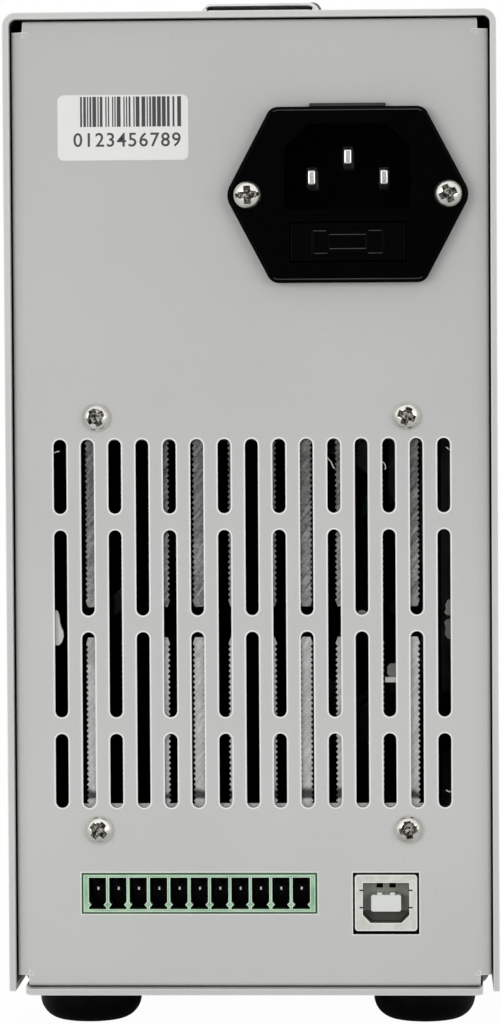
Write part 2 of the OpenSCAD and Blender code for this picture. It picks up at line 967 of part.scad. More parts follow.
way_xs = [for (i = [0:way_n - 1]) header_x + (i - (way_n - 1) / 2) * way_pitch];
way_rise = 0.7;

// One cell: a wide mouth above two small key ribs
module cell_outline() {
    w = cell_w / 2;
    h = cell_h / 2;
    rib_up = 0.9;
    rib_z = rib_up - h;
    rib = 0.5;
    polygon([
        [-w, h], [-w, rib_z + rib], [-w + rib, rib_z], [-w, rib_z - rib], [-w, -h],
        [w, -h], [w, rib_z - rib], [w - rib, rib_z], [w, rib_z + rib], [w, h]
    ]);
}

module signal_header() {
    back = 2;
    color([0.35, 0.55, 0.36])
    difference() {
        along_y(y_header, y_header + header_d)
            translate([header_x, z_header])
                square([header_w, header_h], center = true);
        along_y(y_header + back, y_header + header_d + 1)
            for (x = way_xs)
                translate([x, z_header])
                    cell_outline();
        along_y(y_header - 1, y_header + back + 1)
            for (x = way_xs)
                translate([x, z_header + way_rise])
                    square(way_pin + 2 * run_gap, center = true);
    }
}

module header_pins() {
    tip = 3;
    bend = 1.6;
    z_pin = z_header + way_rise;
    color(nickel)
    for (x = way_xs) {
        along_y(y_header - bend, y_header + header_d - tip)
            translate([x, z_pin])
                square(way_pin, center = true);
        translate([x - way_pin / 2, y_header - bend, z_pin - way_pin / 2])
            cube([way_pin, way_pin, z_interface - z_pin + way_pin / 2]);
    }
}

module usb_shell() {
    cut = 1.5;
    w = usb_mouth_w / 2;
    h = usb_mouth_h / 2;
    contact_w = 1.3;
    contact_h = 1.1;
    contact_d = 1.5;
    contact_pitch = 2.5;
    contact_z = (tongue_h + contact_h) / 2 + fit_gap;
    shell_r = 0.6;
    color(nickel)
    difference() {
        along_y(y_usb, y_usb + usb_d)
            translate([usb_x, z_usb])
                rounded(usb_w, usb_h, shell_r);
        along_y(y_usb + usb_d - usb_mouth_d, y_usb + usb_d + 1)
            translate([usb_x, z_usb])
                polygon([[-w, h], [-w, -h + cut], [-w + cut, -h], [w - cut, -h], [w, -h + cut], [w, h]]);
        along_y(y_usb + usb_d - usb_mouth_d - contact_d, y_usb + usb_d - usb_mouth_d + 1)
            for (sx = [-1, 1], sz = [-1, 1])
                translate([usb_x + sx * contact_pitch / 2, z_usb - tongue_drop + sz * contact_z])
                    square([contact_w, contact_h], center = true);
    }
}

module usb_tongue() {
    tongue_set = 1;
    tongue_r = 0.4;
    color("white")
    along_y(y_usb + usb_d - usb_mouth_d, y_usb + usb_d - tongue_set)
        translate([usb_x, z_usb - tongue_drop])
            rounded(tongue_w, tongue_h, tongue_r);
}

module interface_board() {
    board_end = 0.8;
    color([0.1, 0.32, 0.2])
    translate([-main_w / 2, y_inner - interface_d, z_interface])
        cube([main_w, interface_d - board_end, board_t]);
}

// Heatsinks and fan

// Points down one toothed side of a fin, from the base to the tip
function fin_side(x, s) = [
    for (k = [0:floor(fin_h / tooth_pitch) - 1])
        each [
            [x + s * fin_t / 2, -k * tooth_pitch],
            [x + s * (fin_t / 2 + tooth_h), -(k + 0.5) * tooth_pitch]
        ]
];

function backwards(points) = [for (i = [len(points) - 1:-1:0]) points[i]];

function fin(x) = concat(
    fin_side(x, 1),
    [[x + fin_t / 2, -fin_h], [x - fin_t / 2, -fin_h]],
    backwards(fin_side(x, -1))
);

// Base above zero, fins below it
module sink_outline() {
    polygon(concat(
        [[-sink_w / 2, 0], [-sink_w / 2, sink_base], [sink_w / 2, sink_base], [sink_w / 2, 0]],
        [for (i = [fin_n - 1:-1:0]) each fin((i - (fin_n - 1) / 2) * fin_pitch)]
    ));
}

module heatsinks() {
    thread = screw_l + 2;
    color([0.6, 0.61, 0.62])
    for (s = [0, 1])
        translate([0, 0, z_vent])
            mirror([0, 0, s])
                difference() {
                    along_y(y_sink, y_inner)
                        translate([0, sink_screw_h / 2 - sink_base / 2 - s * sink_offset])
                            sink_outline();
                    for (x = [-1, 1], y = [y_sink - 1, y_inner - thread])
                        bar_y(x * sink_screw_w / 2, sink_screw_h / 2, hole_r, y, y + thread + 1);
                }
}

fan_rim = 2;
fan_bore = fan_w / 2 - fan_rim;
bracket_rim = 2;
bracket_bore = min(fan_bore, sink_w / 2 - bracket_rim);

module fan_bracket() {
    color(zinc)
    along_y(y_fan_back, y_sink)
        translate([0, z_vent])
            difference() {
                square([sink_w, 2 * sink_out], center = true);
                circle(bracket_bore);
                for (sx = [-1, 1], sz = [-1, 1]) {
                    translate([sx * sink_screw_w / 2, sz * sink_screw_h / 2])
                        circle(hole_r);
                    translate([sx * fan_screw_w / 2, sz * fan_screw_w / 2])
                        circle(hole_r);
                }
            }
}

hub_r = fan_hub_d / 2;
spider_t = 3;
bearing_wall = 2;
bearing_r = fan_shaft_d / 2 + bearing_wall;
bearing_l = 13;

module fan_frame() {
    arm_w = 4;
    arm_n = 3;
    arm_turn = 30;
    arm_in = 0.5;
    corner_r = 4;
    y_spider = y_fan_back - spider_t;
    color(black)
    difference() {
        union() {
            along_y(y_fan, y_fan_back)
                translate([0, z_vent])
                    difference() {
                        rounded(fan_w, fan_w, corner_r);
                        circle(fan_bore);
                        for (sx = [-1, 1], sz = [-1, 1])
                            translate([sx * fan_screw_w / 2, sz * fan_screw_w / 2])
                                circle(hole_r);
                    }
            along_y(y_spider, y_fan_back)
                translate([0, z_vent])
                    intersection() {
                        circle(fan_bore + arm_in);
                        union() {
                            circle(hub_r);
                            for (i = [0:arm_n - 1])
                                rotate(i * 360 / arm_n + arm_turn)
                                    translate([0, -arm_w / 2])
                                        square([fan_w, arm_w]);
                        }
                    }
            bar_y(0, z_vent, bearing_r, y_spider - bearing_l, y_spider + 1);
        }
        bar_y(0, z_vent, fan_shaft_d / 2 + run_gap, y_spider - bearing_l - 1, y_spider + 1);
    }
}

module fan_rotor() {
    hub_in = 1.5;
    hub_gap = 1;
    blade_in = 1;
    y_front = y_fan + hub_in;
    y_back = y_fan_back - spider_t - hub_gap;
    blade_y0 = y_front + blade_in;
    blade_y1 = y_back - blade_in;
    cup_t = 1.6;
    camber_r = 24;
    pitch_angle = 48;
    color(black)
    translate([0, 0, z_vent]) {
        difference() {
            bar_y(0, 0, hub_r, y_front, y_back);
            bar_y(0, 0, hub_r - cup_t, y_front + cup_t, y_back + 1);
        }
        bar_y(0, 0, fan_shaft_d / 2, blade_y0, blade_y1);
        for (i = [0:blade_n - 1])
            rotate([0, i * 360 / blade_n, 0])
                intersection() {
                    difference() {
                        bar_y(0, 0, fan_bore - blade_gap, blade_y0, blade_y1);
                        bar_y(0, 0, hub_r - cup_t / 2, blade_y0 - 1, blade_y1 + 1);
                    }
                    translate([hub_r - cup_t, blade_y0, -hub_r])
                        cube([fan_w / 2, blade_y1 - blade_y0, 2 * hub_r]);
                    translate([hub_r - cup_t, (blade_y0 + blade_y1) / 2, 0])
                        rotate([pitch_angle, 0, 0])
                            translate([0, camber_r, 0])
                                rotate([0, 90, 0])
                                    difference() {
                                        cylinder(r = camber_r + blade_t / 2, h = fan_w / 2);
                                        translate([0, 0, -1])
                                            cylinder(r = camber_r - blade_t / 2, h = fan_w);
                                    }
                }
    }
}

// Power stage

chip_w = 15.9;
chip_l = 20.9;
chip_t = 5;
chip_pitch = 20;
leg_pitch = 5.45;
leg_w = 1.2;
leg_out = 3;
chip_in = 24;
chip_step = 26;
chip_rows = [y_sink + chip_in, y_sink + chip_in + chip_step];

// A transistor lying on zero with its legs bent up to a board
module transistor() {
    translate([-chip_w / 2, 0, 0])
        cube([chip_w, chip_l, chip_t]);
    for (i = [-1, 0, 1]) {
        translate([i * leg_pitch - leg_w / 2, -leg_out, chip_t / 2])
            cube([leg_w, leg_out + eps, leg_w]);
        translate([i * leg_pitch - leg_w / 2, -leg_out, chip_t / 2])
            cube([leg_w, leg_w, pillar_h - chip_t / 2]);
    }
}

module transistors() {
    color(black)
    for (x = [-1, 0, 1], y = chip_rows) {
        translate([x * chip_pitch, y, z_upper])
            transistor();
        translate([x * chip_pitch, y, z_lower])
            mirror([0, 0, 1])
                transistor();
    }
}

main_in = 4;
low_board_in = 14;
low_board_d = 62;
low_board_w = 66;
y_low_board = y_sink + low_board_in;

module main_board() {
    color([0.1, 0.32, 0.2])
    translate([-main_w / 2, y_sink + main_in, z_main])
        cube([main_w, sink_l - 2 * main_in, board_t]);
}

module lower_board() {
    color([0.1, 0.32, 0.2])
    translate([-low_board_w / 2, y_low_board, z_low_board])
        cube([low_board_w, low_board_d, board_t]);
}

module pillar(x, y, low, high) {
    translate([x, y, low])
        cylinder(d = pillar_af / cos(30), h = high - low, $fn = 6);
}

module pillars() {
    edge = 4;
    upper_in = 11;
    lower_in = 8;
    color(nickel)
    for (s = [-1, 1]) {
        for (y = [y_sink + upper_in, y_inner - upper_in])
            pillar(s * (sink_w / 2 - edge), y, z_upper, z_main);
        for (y = [y_sink + lower_in, y_low_board + low_board_d + edge])
            pillar(s * (sink_w / 2 - edge), y, z_floor, z_lower);
        for (y = [y_low_board + edge, y_low_board + low_board_d - edge])
            pillar(s * (low_board_w / 2 - edge), y, z_floor, z_low_board);
        pillar(s * (sink_w / 2 - edge), y_inner - interface_d / 2, z_interface + board_t, z_lower);
    }
}

module supply_parts() {
    z_board = z_main + board_t;
    core_w = 46;
    core_d = 36;
    core_h = 14;
    coil_w = 32;
    coil_h = 34;
    coil_d = 44;
    can_r = 8;
    can_h = 26;
    can_gap = 4;
    relay = [15, 19, 15];
    relay_x = 14;
    relay_step = 18;
    relay_gap = 6;
    core_in = 14;
    y_core = y_sink + core_in;
    y_can = y_core + coil_d + can_gap + can_r;
    color([0.25, 0.22, 0.16]) {
        translate([-coil_w / 2, y_core, z_board])
            cube([coil_w, coil_d, coil_h]);
        translate([-core_w / 2, y_core + (coil_d - core_d) / 2, z_board + (coil_h - core_h) / 2])
            cube([core_w, core_d, core_h]);
        for (x = [-1, 0, 1])
            translate([x * (2 * can_r + can_gap), y_can, z_board])
                cylinder(r = can_r, h = can_h);
        for (x = [relay_x, relay_x + relay_step])
            translate([x - relay[0] / 2, y_can + can_r + relay_gap, z_board])
                cube(relay);
    }
}

// Front bezel and what it holds

// Places of the keys, row by row from the top left
key_places = [
    for (row = [0:key_rows - 1], column = [0:key_columns - 1])
        [
            keypad_x + (column - (key_columns - 1) / 2) * key_pitch_w,
            z_keypad - (row - (key_rows - 1) / 2) * key_pitch_h
        ]
];

bush_wall = 2;
rotor_wall = 1;
jack_wall = 2;
bush_r = shaft_d / 2 + bush_wall;
rotor_r = shaft_d / 2 + rotor_wall;
jack_r = plug_d / 2 + jack_wall;
rocker_gap = 0.35;
frame_wall = 1.2;
rocker_depth = 5.5;
rocker_reach = rocker_l / 2 * cos(rocker_tilt) + rocker_depth * sin(rocker_tilt);
switch_body_w = rocker_w + 2 * rocker_gap + 2 * frame_wall;
switch_body_h = 2 * (rocker_reach + rocker_gap + frame_wall);

module bezel_block() {
    intersection() {
        along_y(y_face, y_case)
            translate([0, z_tray + case_h / 2])
                rounded(case_w, case_h, bend_r);
        along_x(-case_w / 2, case_w / 2)
            translate([y_face, z_tray + case_h / 2])
                nose(bezel_d, case_h, bezel_edge);
        translate([0, y_face, z_tray])
            linear_extrude(case_h)
                rotate(90)
                    nose(bezel_d, case_w, bezel_edge);
    }
}

module bezel_openings() {
    along_y(y_face - 1, y_wall + 1) {
        translate([0, z_window])
            square([window_w - 2 * window_frame, window_h - 2 * window_frame], center = true);
        for (p = key_places)
            translate(p)
                rounded(key_w + 2 * key_gap, key_h + 2 * key_gap, key_r + key_gap);
        translate([switch_x, z_switch])
            square([switch_body_w + 2 * fit_gap, switch_body_h + 2 * fit_gap], center = true);
    }
    along_y(y_face - 1, y_face + window_t)
        translate([0, z_window])
            square([window_w + 2 * fit_gap, window_h + 2 * fit_gap], center = true);
    bar_y(knob_x, z_knob, bush_r + seat_gap, y_face - 1, y_wall + 1);
    for (x = post_xs) {
        bar_y(x, z_post, body_r + fit_gap, y_face - 1, y_wall + 1);
        bar_y(x, z_sense, jack_r + fit_gap, y_face - 1, y_wall + 1);
    }
}

module front_bezel() {
    inside_r = 2;
    color([0.2, 0.21, 0.23])
    difference() {
        union() {
            difference() {
                bezel_block();
                along_y(y_wall, y_case + 1)
                    translate([0, z_tray + case_h / 2])
                        rounded(case_w - 2 * bezel_side, case_h - 2 * bezel_side, inside_r);
            }
            for (s = [-1, 1], z = boss_zs)
                bar_y(s * boss_x, z, boss_r, y_wall - 1, y_case);
            for (s = [-1, 1], z = stay_zs)
                bar_y(s * stay_x, z, stay_r, y_wall - 1, y_board);
        }
        bezel_openings();
        for (s = [-1, 1], z = boss_zs)
            bar_y(s * boss_x, z, hole_r, y_case - boss_bore, y_case + 1);
        for (s = [-1, 1], z = stay_zs)
            bar_y(s * stay_x, z, hole_r, y_board + board_t - screw_l - seat_gap, y_board + 1);
    }
}

module front_frame() {
    frame_x = wall_x - seat_gap;
    rail = frame_x - boss_x + boss_r;
    foot = 12;
    z_open_low = boss_zs[0] + boss_in;
    z_open_high = boss_zs[1] - boss_in;
    color(zinc) {
        difference() {
            along_y(y_case, y_case + sheet_t)
                difference() {
                    translate([-frame_x, z_floor + bend_r])
                        square([2 * frame_x, z_panel_high - z_floor - bend_r]);
                    translate([-frame_x + rail, z_open_low])
                        square([2 * (frame_x - rail), z_open_high - z_open_low]);
                }
            for (s = [-1, 1], z = boss_zs)
                bar_y(s * boss_x, z, hole_r, y_case - 1, y_case + sheet_t + 1);
        }
        along_x(-frame_x + bend_r, frame_x - bend_r)
            translate([y_case, z_floor])
                rotate(180)
                    fold(foot);
    }
}

module display_window() {
    color([0.1, 0.12, 0.14])
    along_y(y_face, y_face + window_t)
        translate([0, z_window])
            square([window_w, window_h], center = true);
}

module display_module() {
    color("dimgray")
    along_y(y_wall + seat_gap, y_board)
        translate([0, z_window])
            square([window_w, window_h], center = true);
}

module front_board() {
    color([0.1, 0.32, 0.2])
    difference() {
        along_y(y_board, y_board + board_t)
            translate([-board_x, z_board_low])
                square([2 * board_x, z_board_top - z_board_low]);
        for (s = [-1, 1], z = stay_zs)
            bar_y(s * stay_x, z, hole_r, y_board - 1, y_board + board_t + 1);
    }
}

module key_switches() {
    color(black)
    for (p = key_places)
        difference() {
            along_y(y_key_switch, y_board)
                translate(p)
                    square(switch_w, center = true);
            bar_y(p[0], p[1], stem_r + screw_gap, y_key_switch - 1,
                  y_key_switch + stem_in + key_travel + seat_gap);
        }
}

module key(i) {
    x = key_places[i][0];
    z = key_places[i][1];
    y_front = y_face - key_proud;
    color(key_names[i] == "key_load" ? [0.85, 0.45, 0.15] : [0.75, 0.76, 0.77])
    difference() {
        union() {
            along_y(y_front, y_key_back)
                translate([x, z])
                    rounded(key_w, key_h, key_r);
            along_y(y_key_flange, y_key_back)
                translate([x, z])
                    rounded(key_w + 2 * key_lip, key_h + 2 * key_lip, key_r + key_lip);
            bar_y(x, z, stem_r, y_key_back - 1, y_key_switch + stem_in);
        }
        bar_x(y_front - key_dish_r + key_dish, z, key_dish_r, x - key_w, x + key_w);
    }
}

// Knob and encoder

bush_out = 1.2;
rotor_back = 2;
knob_back = y_face - knob_gap;
y_bush = y_face - bush_out;
y_rotor_end = y_board - rotor_back;

module encoder_body() {
    body_w = 12.4;
    color("silver")
    difference() {
        union() {
            along_y(y_wall + seat_gap, y_board)
                translate([knob_x, z_knob])
                    square(body_w, center = true);
            bar_y(knob_x, z_knob, bush_r, y_bush, y_wall + 1);
        }
        bar_y(knob_x, z_knob, rotor_r + run_gap, y_bush - 1, y_rotor_end + seat_gap);
    }
}

module encoder_rotor() {
    color("silver")
    difference() {
        bar_y(knob_x, z_knob, rotor_r, y_bush, y_rotor_end);
        bar_y(knob_x, z_knob, shaft_d / 2 + run_gap, y_bush - 1, y_rotor_end + 1);
    }
}

knob_front = knob_back - knob_l;
knob_top = 3;

module encoder_shaft() {
    color("silver")
    bar_y(knob_x, z_knob, shaft_d / 2, knob_front + knob_top, y_rotor_end - knob_travel - seat_gap);
}

module knob() {
    edge = 1.6;
    flute_n = 24;
    flute_r = 1.1;
    flute_up = 2;
    hollow_d = 5;
    hollow_side = 2.5;
    hollow_r = bush_r + hollow_side;
    mark_r = 1.3;
    mark_in = 4;
    mark_d = 0.6;
    color([0.12, 0.12, 0.13])
    translate([knob_x, knob_back, z_knob])
        rotate([90, 0, 0])
            difference() {
                rotate_extrude()
                    intersection() {
                        square([knob_d / 2, knob_l]);
                        union() {
                            square([knob_d / 2, knob_l - edge]);
                            square([knob_d / 2 - edge, knob_l]);
                            translate([knob_d / 2 - edge, knob_l - edge])
                                circle(edge);
                        }
                    }
                for (i = [0:flute_n - 1])
                    rotate(i * 360 / flute_n)
                        translate([knob_d / 2 + flute_r / 2, 0, flute_up])
                            cylinder(r = flute_r, h = knob_l);
                translate([0, 0, -1])
                    cylinder(r = hollow_r, h = hollow_d + 1);
                translate([0, 0, -1])
                    cylinder(r = shaft_d / 2 + fit_gap, h = knob_l - knob_top + 1);
                translate([0, knob_d / 2 - mark_in, knob_l - mark_d])
                    cylinder(r = mark_r, h = mark_d + 1);
            }
}

// Mains switch

pivot_in = 3;
y_pivot = y_face + pivot_in;
pivot_r = 1.2;
switch_d = 16;

module rocker_frame() {
    flange = 1.6;
    flange_t = 1.8;
    flange_r = 1.2;
    floor_t = 3;
    spade = [4.8, 8, 0.8];
    cavity_w = rocker_w + 2 * rocker_gap;
    cavity_h = 2 * (rocker_reach + rocker_gap);
    color(black)
    difference() {
        union() {
            along_y(y_face - flange_t, y_face)
                translate([switch_x, z_switch])
                    rounded(switch_body_w + 2 * flange, switch_body_h + 2 * flange, flange_r);
            along_y(y_face - 1, y_face + switch_d)
                translate([switch_x, z_switch])
                    square([switch_body_w, switch_body_h], center = true);
            for (s = [-1, 1])
                translate([switch_x - spade[0] / 2, y_face + switch_d - 1, z_switch + s * rocker_l / 3])
                    cube([spade[0], spade[1] + 1, spade[2]]);
        }
        along_y(y_face - flange_t - 1, y_face + switch_d - floor_t)
            translate([switch_x, z_switch])
                square([cavity_w, cavity_h], center = true);
        bar_x(y_pivot, z_switch, pivot_r + run_gap, switch_x - switch_body_w, switch_x + switch_body_w);
    }
}

module rocker() {
    half = rocker_l / 2;
    valley = 1.4;
    back = 2.2;
    pin_in = 0.9;
    pin_reach = rocker_w / 2 + rocker_gap + pin_in;
    color(black)
    translate([switch_x, y_pivot, z_switch])
        rotate([rocker_tilt, 0, 0]) {
            along_x(-rocker_w / 2, rocker_w / 2)
                polygon([
                    [-rocker_depth, -half], [-rocker_depth + valley, 0], [-rocker_depth, half],
                    [-rocker_depth / 2, half], [back, half / 2], [back, -half / 2],
                    [-rocker_depth / 2, -half]
                ]);
            bar_x(0, 0, pivot_r, -pin_reach, pin_reach);
        }
}

// Terminals

y_washer = y_face - post_flange_t - seat_gap;
y_cap = y_washer - washer_t - seat_gap;
stud_set = 1;
stud_over = 1;
washer_in = 0.5;
base_over = 2;
y_stud = y_cap - cap_l + stud_set;
y_stud_end = y_bus + bus_t + nut_t + stud_over;

module post_base(x) {
    bore = stud_d / 2 + fit_gap;
    difference() {
        union() {
            bar_y(x, z_post, post_flange_r, y_face - post_flange_t, y_face);
            bar_y(x, z_post, body_r, y_face - 1, y_wall + nut_t + base_over);
        }
        bar_y(x, z_post, bore, y_face - post_flange_t - 1, y_wall + nut_t + base_over + 1);
    }
}

module post_base_red() { color("firebrick") post_base(post_xs[1]); }

module post_base_black() { color(black) post_base(post_xs[0]); }

module post_studs() {
    color("goldenrod")
    for (x = post_xs)
        difference() {
            bar_y(x, z_post, stud_d / 2, y_stud, y_stud_end);
            bar_y(x, z_post, plug_d / 2, y_stud - 1, y_stud + plug_l);
        }
}

module clamp_washer(x) {
    difference() {
        bar_y(x, z_post, cap_d / 2 - washer_in, y_washer - washer_t, y_washer);
        bar_y(x, z_post, stud_d / 2 + run_gap, y_washer - washer_t - 1, y_washer + 1);
    }
}

module clamp_washer_red() { color(nickel) clamp_washer(post_xs[1]); }

module clamp_washer_black() { color(nickel) clamp_washer(post_xs[0]); }

module post_cap(x) {
    edge = 1.2;
    flute_n = 16;
    flute_r = 1.2;
    flute_out = 0.5;
    flute_up = 2;
    translate([x, y_cap, z_post])
        rotate([90, 0, 0])
            difference() {
                rotate_extrude()
                    union() {
                        square([cap_d / 2, cap_l - edge]);
                        square([cap_d / 2 - edge, cap_l]);
                        translate([cap_d / 2 - edge, cap_l - edge])
                            circle(edge);
                    }
                for (i = [0:flute_n - 1])
                    rotate(i * 360 / flute_n)
                        translate([cap_d / 2 + flute_out, 0, flute_up])
                            cylinder(r = flute_r, h = cap_l);
                translate([0, 0, -1])
                    cylinder(r = stud_d / 2 + run_gap, h = cap_l + 2);
            }
}

module post_cap_red() { color("firebrick") post_cap(post_xs[1]); }

module post_cap_black() { color(black) post_cap(post_xs[0]); }

module nut(x, z, inner_r, outer_d, y0) {
    translate([x, y0 + nut_t, z])
        rotate([90, 0, 0])
            difference() {
                cylinder(d = outer_d, h = nut_t, $fn = 6);
                translate([0, 0, -1])
                    cylinder(r = inner_r + fit_gap, h = nut_t + 2);
            }
}

module post_nuts() {
    body_nut = 6;
    stud_nut = 7;
    color("goldenrod")
    for (x = post_xs) {
        nut(x, z_post, body_r, 2 * body_r + body_nut, y_wall);
        nut(x, z_post, stud_d / 2, stud_d + stud_nut, y_bus + bus_t);
    }
}

module busbar(x, side) {
    low = z_post - bus_w / 2;
    reach = side * (bus_x + bus_t);
    difference() {
        union() {
            along_y(y_bus, y_bus + bus_t)
                translate([min(x - side * bus_w / 2, reach), low])
                    square([abs(reach - x) + bus_w / 2, bus_w]);
            along_x(side > 0 ? bus_x : -bus_x - bus_t, side > 0 ? bus_x + bus_t : -bus_x) {
                translate([y_bus, low])
                    square([y_rise + bus_w - y_bus, bus_w]);
                translate([y_rise, low])
                    square([bus_w, z_main - low]);
            }
        }
        bar_y(x, z_post, stud_d / 2 + fit_gap, y_bus - 1, y_bus + bus_t + 1);
    }
}

module busbars() {
    color("peru") {
        busbar(post_xs[0], -1);
        busbar(post_xs[1], 1);
    }
}

module sense_jacks() {
    flange_t = 2;
    flange = 1.6;
    floor_t = 2;
    flange_r = jack_r + flange;
    color(black)
    for (x = post_xs)
        difference() {
            union() {
                bar_y(x, z_sense, flange_r, y_face - flange_t, y_face);
                bar_y(x, z_sense, jack_r, y_face - 1, y_face - flange_t + plug_l + floor_t);
            }
            bar_y(x, z_sense, plug_d / 2, y_face - flange_t - 1, y_face - flange_t + plug_l);
        }
}

top_cover();
bottom_tray();
rear_panel();
front_bezel();
front_frame();
rubber_feet();
case_screws();
rear_screws();
handle_caps();
handle_strap();
inlet_body();
inlet_pins();
fuse_drawer();
fuse();
signal_header();
header_pins();
usb_shell();
usb_tongue();
interface_board();
heatsinks();
fan_bracket();
fan_frame();
fan_rotor();
transistors();
main_board();
lower_board();
pillars();
supply_parts();
display_window();
display_module();
front_board();
key_switches();
knob();
encoder_shaft();
encoder_rotor();
encoder_body();
rocker_frame();
rocker();
post_base_red();
post_base_black();
post_studs();
clamp_washer_red();
clamp_washer_black();
post_cap_red();
post_cap_black();
post_nuts();
busbars();
sense_jacks();
for (i = [0:len(key_names) - 1])
    key(i);
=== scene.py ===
# %% [markdown]
# # A bench DC electronic load, seen from behind
#
# The real object is an upright steel box with a plastic front. Its back carries a mains inlet, a panel of
# cooling slots, a green signal header and a square USB socket. The solid parts come from CAD as a fixed
# frame, so this lesson does what CAD can't: finishes, print, soft edges, real screw heads and a bowed
# strap. Everything is in metres, in the frame of the CAD part: +Z is up and the back faces +Y.

# %% Load the frame
import json
import math
import random

import bmesh
import bpy
from mathutils import Matrix, Vector


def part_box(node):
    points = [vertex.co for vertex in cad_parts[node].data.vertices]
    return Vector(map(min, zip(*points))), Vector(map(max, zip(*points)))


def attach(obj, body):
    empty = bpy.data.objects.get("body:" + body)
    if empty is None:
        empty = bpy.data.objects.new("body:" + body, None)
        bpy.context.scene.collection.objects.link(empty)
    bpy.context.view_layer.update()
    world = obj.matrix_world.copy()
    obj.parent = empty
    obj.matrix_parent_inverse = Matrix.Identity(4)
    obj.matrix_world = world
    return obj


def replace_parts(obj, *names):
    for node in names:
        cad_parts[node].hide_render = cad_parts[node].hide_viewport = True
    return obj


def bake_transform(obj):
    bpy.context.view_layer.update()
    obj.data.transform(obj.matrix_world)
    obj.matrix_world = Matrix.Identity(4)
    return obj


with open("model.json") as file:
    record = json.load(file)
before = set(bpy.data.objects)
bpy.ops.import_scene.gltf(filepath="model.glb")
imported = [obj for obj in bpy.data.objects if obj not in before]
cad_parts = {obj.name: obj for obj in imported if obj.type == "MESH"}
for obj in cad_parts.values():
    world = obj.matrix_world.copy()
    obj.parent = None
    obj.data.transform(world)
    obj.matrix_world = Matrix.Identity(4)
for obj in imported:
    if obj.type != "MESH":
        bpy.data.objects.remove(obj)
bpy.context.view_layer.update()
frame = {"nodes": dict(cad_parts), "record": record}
scene = bpy.context.scene
scene.view_settings.view_transform = "Standard"
MM = 0.001

# %% [markdown]
# ## The camera
#
# The photograph is a square-on view from behind, taken from about 0.8 m. The edges of the case's rear rim are
# straight lines in the picture, so one camera was solved from their four corners. Its place could be found
# by eye instead, but a small turn to one side changes which fins show behind which slots.

# %% Camera
RIM_CENTRE = Vector((0, 0.13715, 0.10207))
RIGHT_UP_BACK = (33.1 * MM, 26.4 * MM, 800 * MM)
YAW, PITCH, ROLL = (math.radians(a) for a in (2.38, -1.99, 0.34))
FOCAL_PIXELS = 4155
LONG_SIDE = 1024


def from_behind(right, up, back):
    """A vector that is given as an observer behind the case sees it."""
    return Vector((-right, back, up))


turned = (Matrix.Rotation(ROLL, 3, "Z") @ Matrix.Rotation(-PITCH, 3, "X") @ Matrix.Rotation(-YAW, 3, "Y"))
camera = bpy.data.objects.new("camera", bpy.data.cameras.new("camera"))
scene.collection.objects.link(camera)
camera.data.sensor_width = 36
camera.data.lens = 36 * FOCAL_PIXELS / LONG_SIDE
camera.data.clip_start, camera.data.clip_end = 0.02, 20
columns = [from_behind(*turned[i]) for i in range(3)]
placed = Matrix(columns).transposed().to_4x4()
placed.translation = RIM_CENTRE + from_behind(*RIGHT_UP_BACK)
camera.matrix_world = placed
scene.camera = camera
print("camera at", [round(x, 4) for x in camera.location], "lens", round(camera.data.lens, 1), "mm")

# %% [markdown]
# ## Shader sums in plain Python
#
# A finish is a small network of nodes. Wiring each by hand is long to read, so one class wraps a node's
# output: adding, taking or multiplying wraps adds a Math node, and `node` makes any other kind. The finishes
# below then read as sums over the place on the object.


# %% The wire class
class Wire:
    """One output of a shader node, which can be used in a Python sum."""

    def __init__(self, tree, socket):
        self.tree, self.socket = tree, socket

    def node(self, kind, settings=None, sockets=None, out=0):
        made = self.tree.nodes.new(kind)
        for key, value in (settings or {}).items():
            setattr(made, key, value)
        for key, value in (sockets or {}).items():
            feed(made.inputs[key], value)
        return Wire(self.tree, made.outputs[out])

    def math(self, operation, *values):
        return self.node("ShaderNodeMath", {"operation": operation}, dict(enumerate(values)))

    def __add__(self, other):
        return self.math("ADD", self, other)

    def __sub__(self, other):
        return self.math("SUBTRACT", self, other)

    def __rsub__(self, other):
        return self.math("SUBTRACT", other, self)

    def __mul__(self, other):
        return self.math("MULTIPLY", self, other)

    def __gt__(self, other):
        return self.math("GREATER_THAN", self, other)

    def __lt__(self, other):
        return self.math("LESS_THAN", self, other)

    __radd__ = __add__
    __rmul__ = __mul__


def feed(socket, value):
    """Links a wire to a socket, or sets the socket to a number or colour."""
    if isinstance(value, Wire):
        value.tree.links.new(value.socket, socket)
    elif socket.type == "RGBA" and len(value) == 3:
        socket.default_value = (*value, 1)
    else:
        socket.default_value = value


def rgb(red, green, blue):
    """A colour that is read off a screen, as Blender's linear values."""
    return tuple(((c / 255 + 0.055) / 1.055) ** 2.4 if c > 10 else c / 255 / 12.92 for c in (red, green, blue))


def stretched(wire, x, y, z):
    return wire.node("ShaderNodeVectorMath", {"operation": "MULTIPLY"}, {0: wire, 1: (x, y, z)})


def noise(place, per_metre, detail=2.0, rough=0.5):
    return place.node("ShaderNodeTexNoise", {}, {"Vector": place, "Scale": per_metre, "Detail": detail,
                                                 "Roughness": rough})


def blend_colour(mask, low, high):
    return mask.node("ShaderNodeMix", {"data_type": "RGBA"}, {0: mask, 6: low, 7: high}, out=2)


def fade(value, start, end):
    """0 below start, 1 above end, and a smooth rise between them."""
    return value.node("ShaderNodeMapRange", {"interpolation_type": "SMOOTHSTEP"},
                      {"Value": value, "From Min": start, "From Max": end})


def axes_of(vector):
    return [vector.node("ShaderNodeSeparateXYZ", {}, {0: vector}, out=i) for i in range(3)]


def bumped(height, depth_mm, strength=1.0):
    return height.node("ShaderNodeBump", {}, {"Height": height, "Distance": depth_mm * MM, "Strength": strength})


finishes = {}


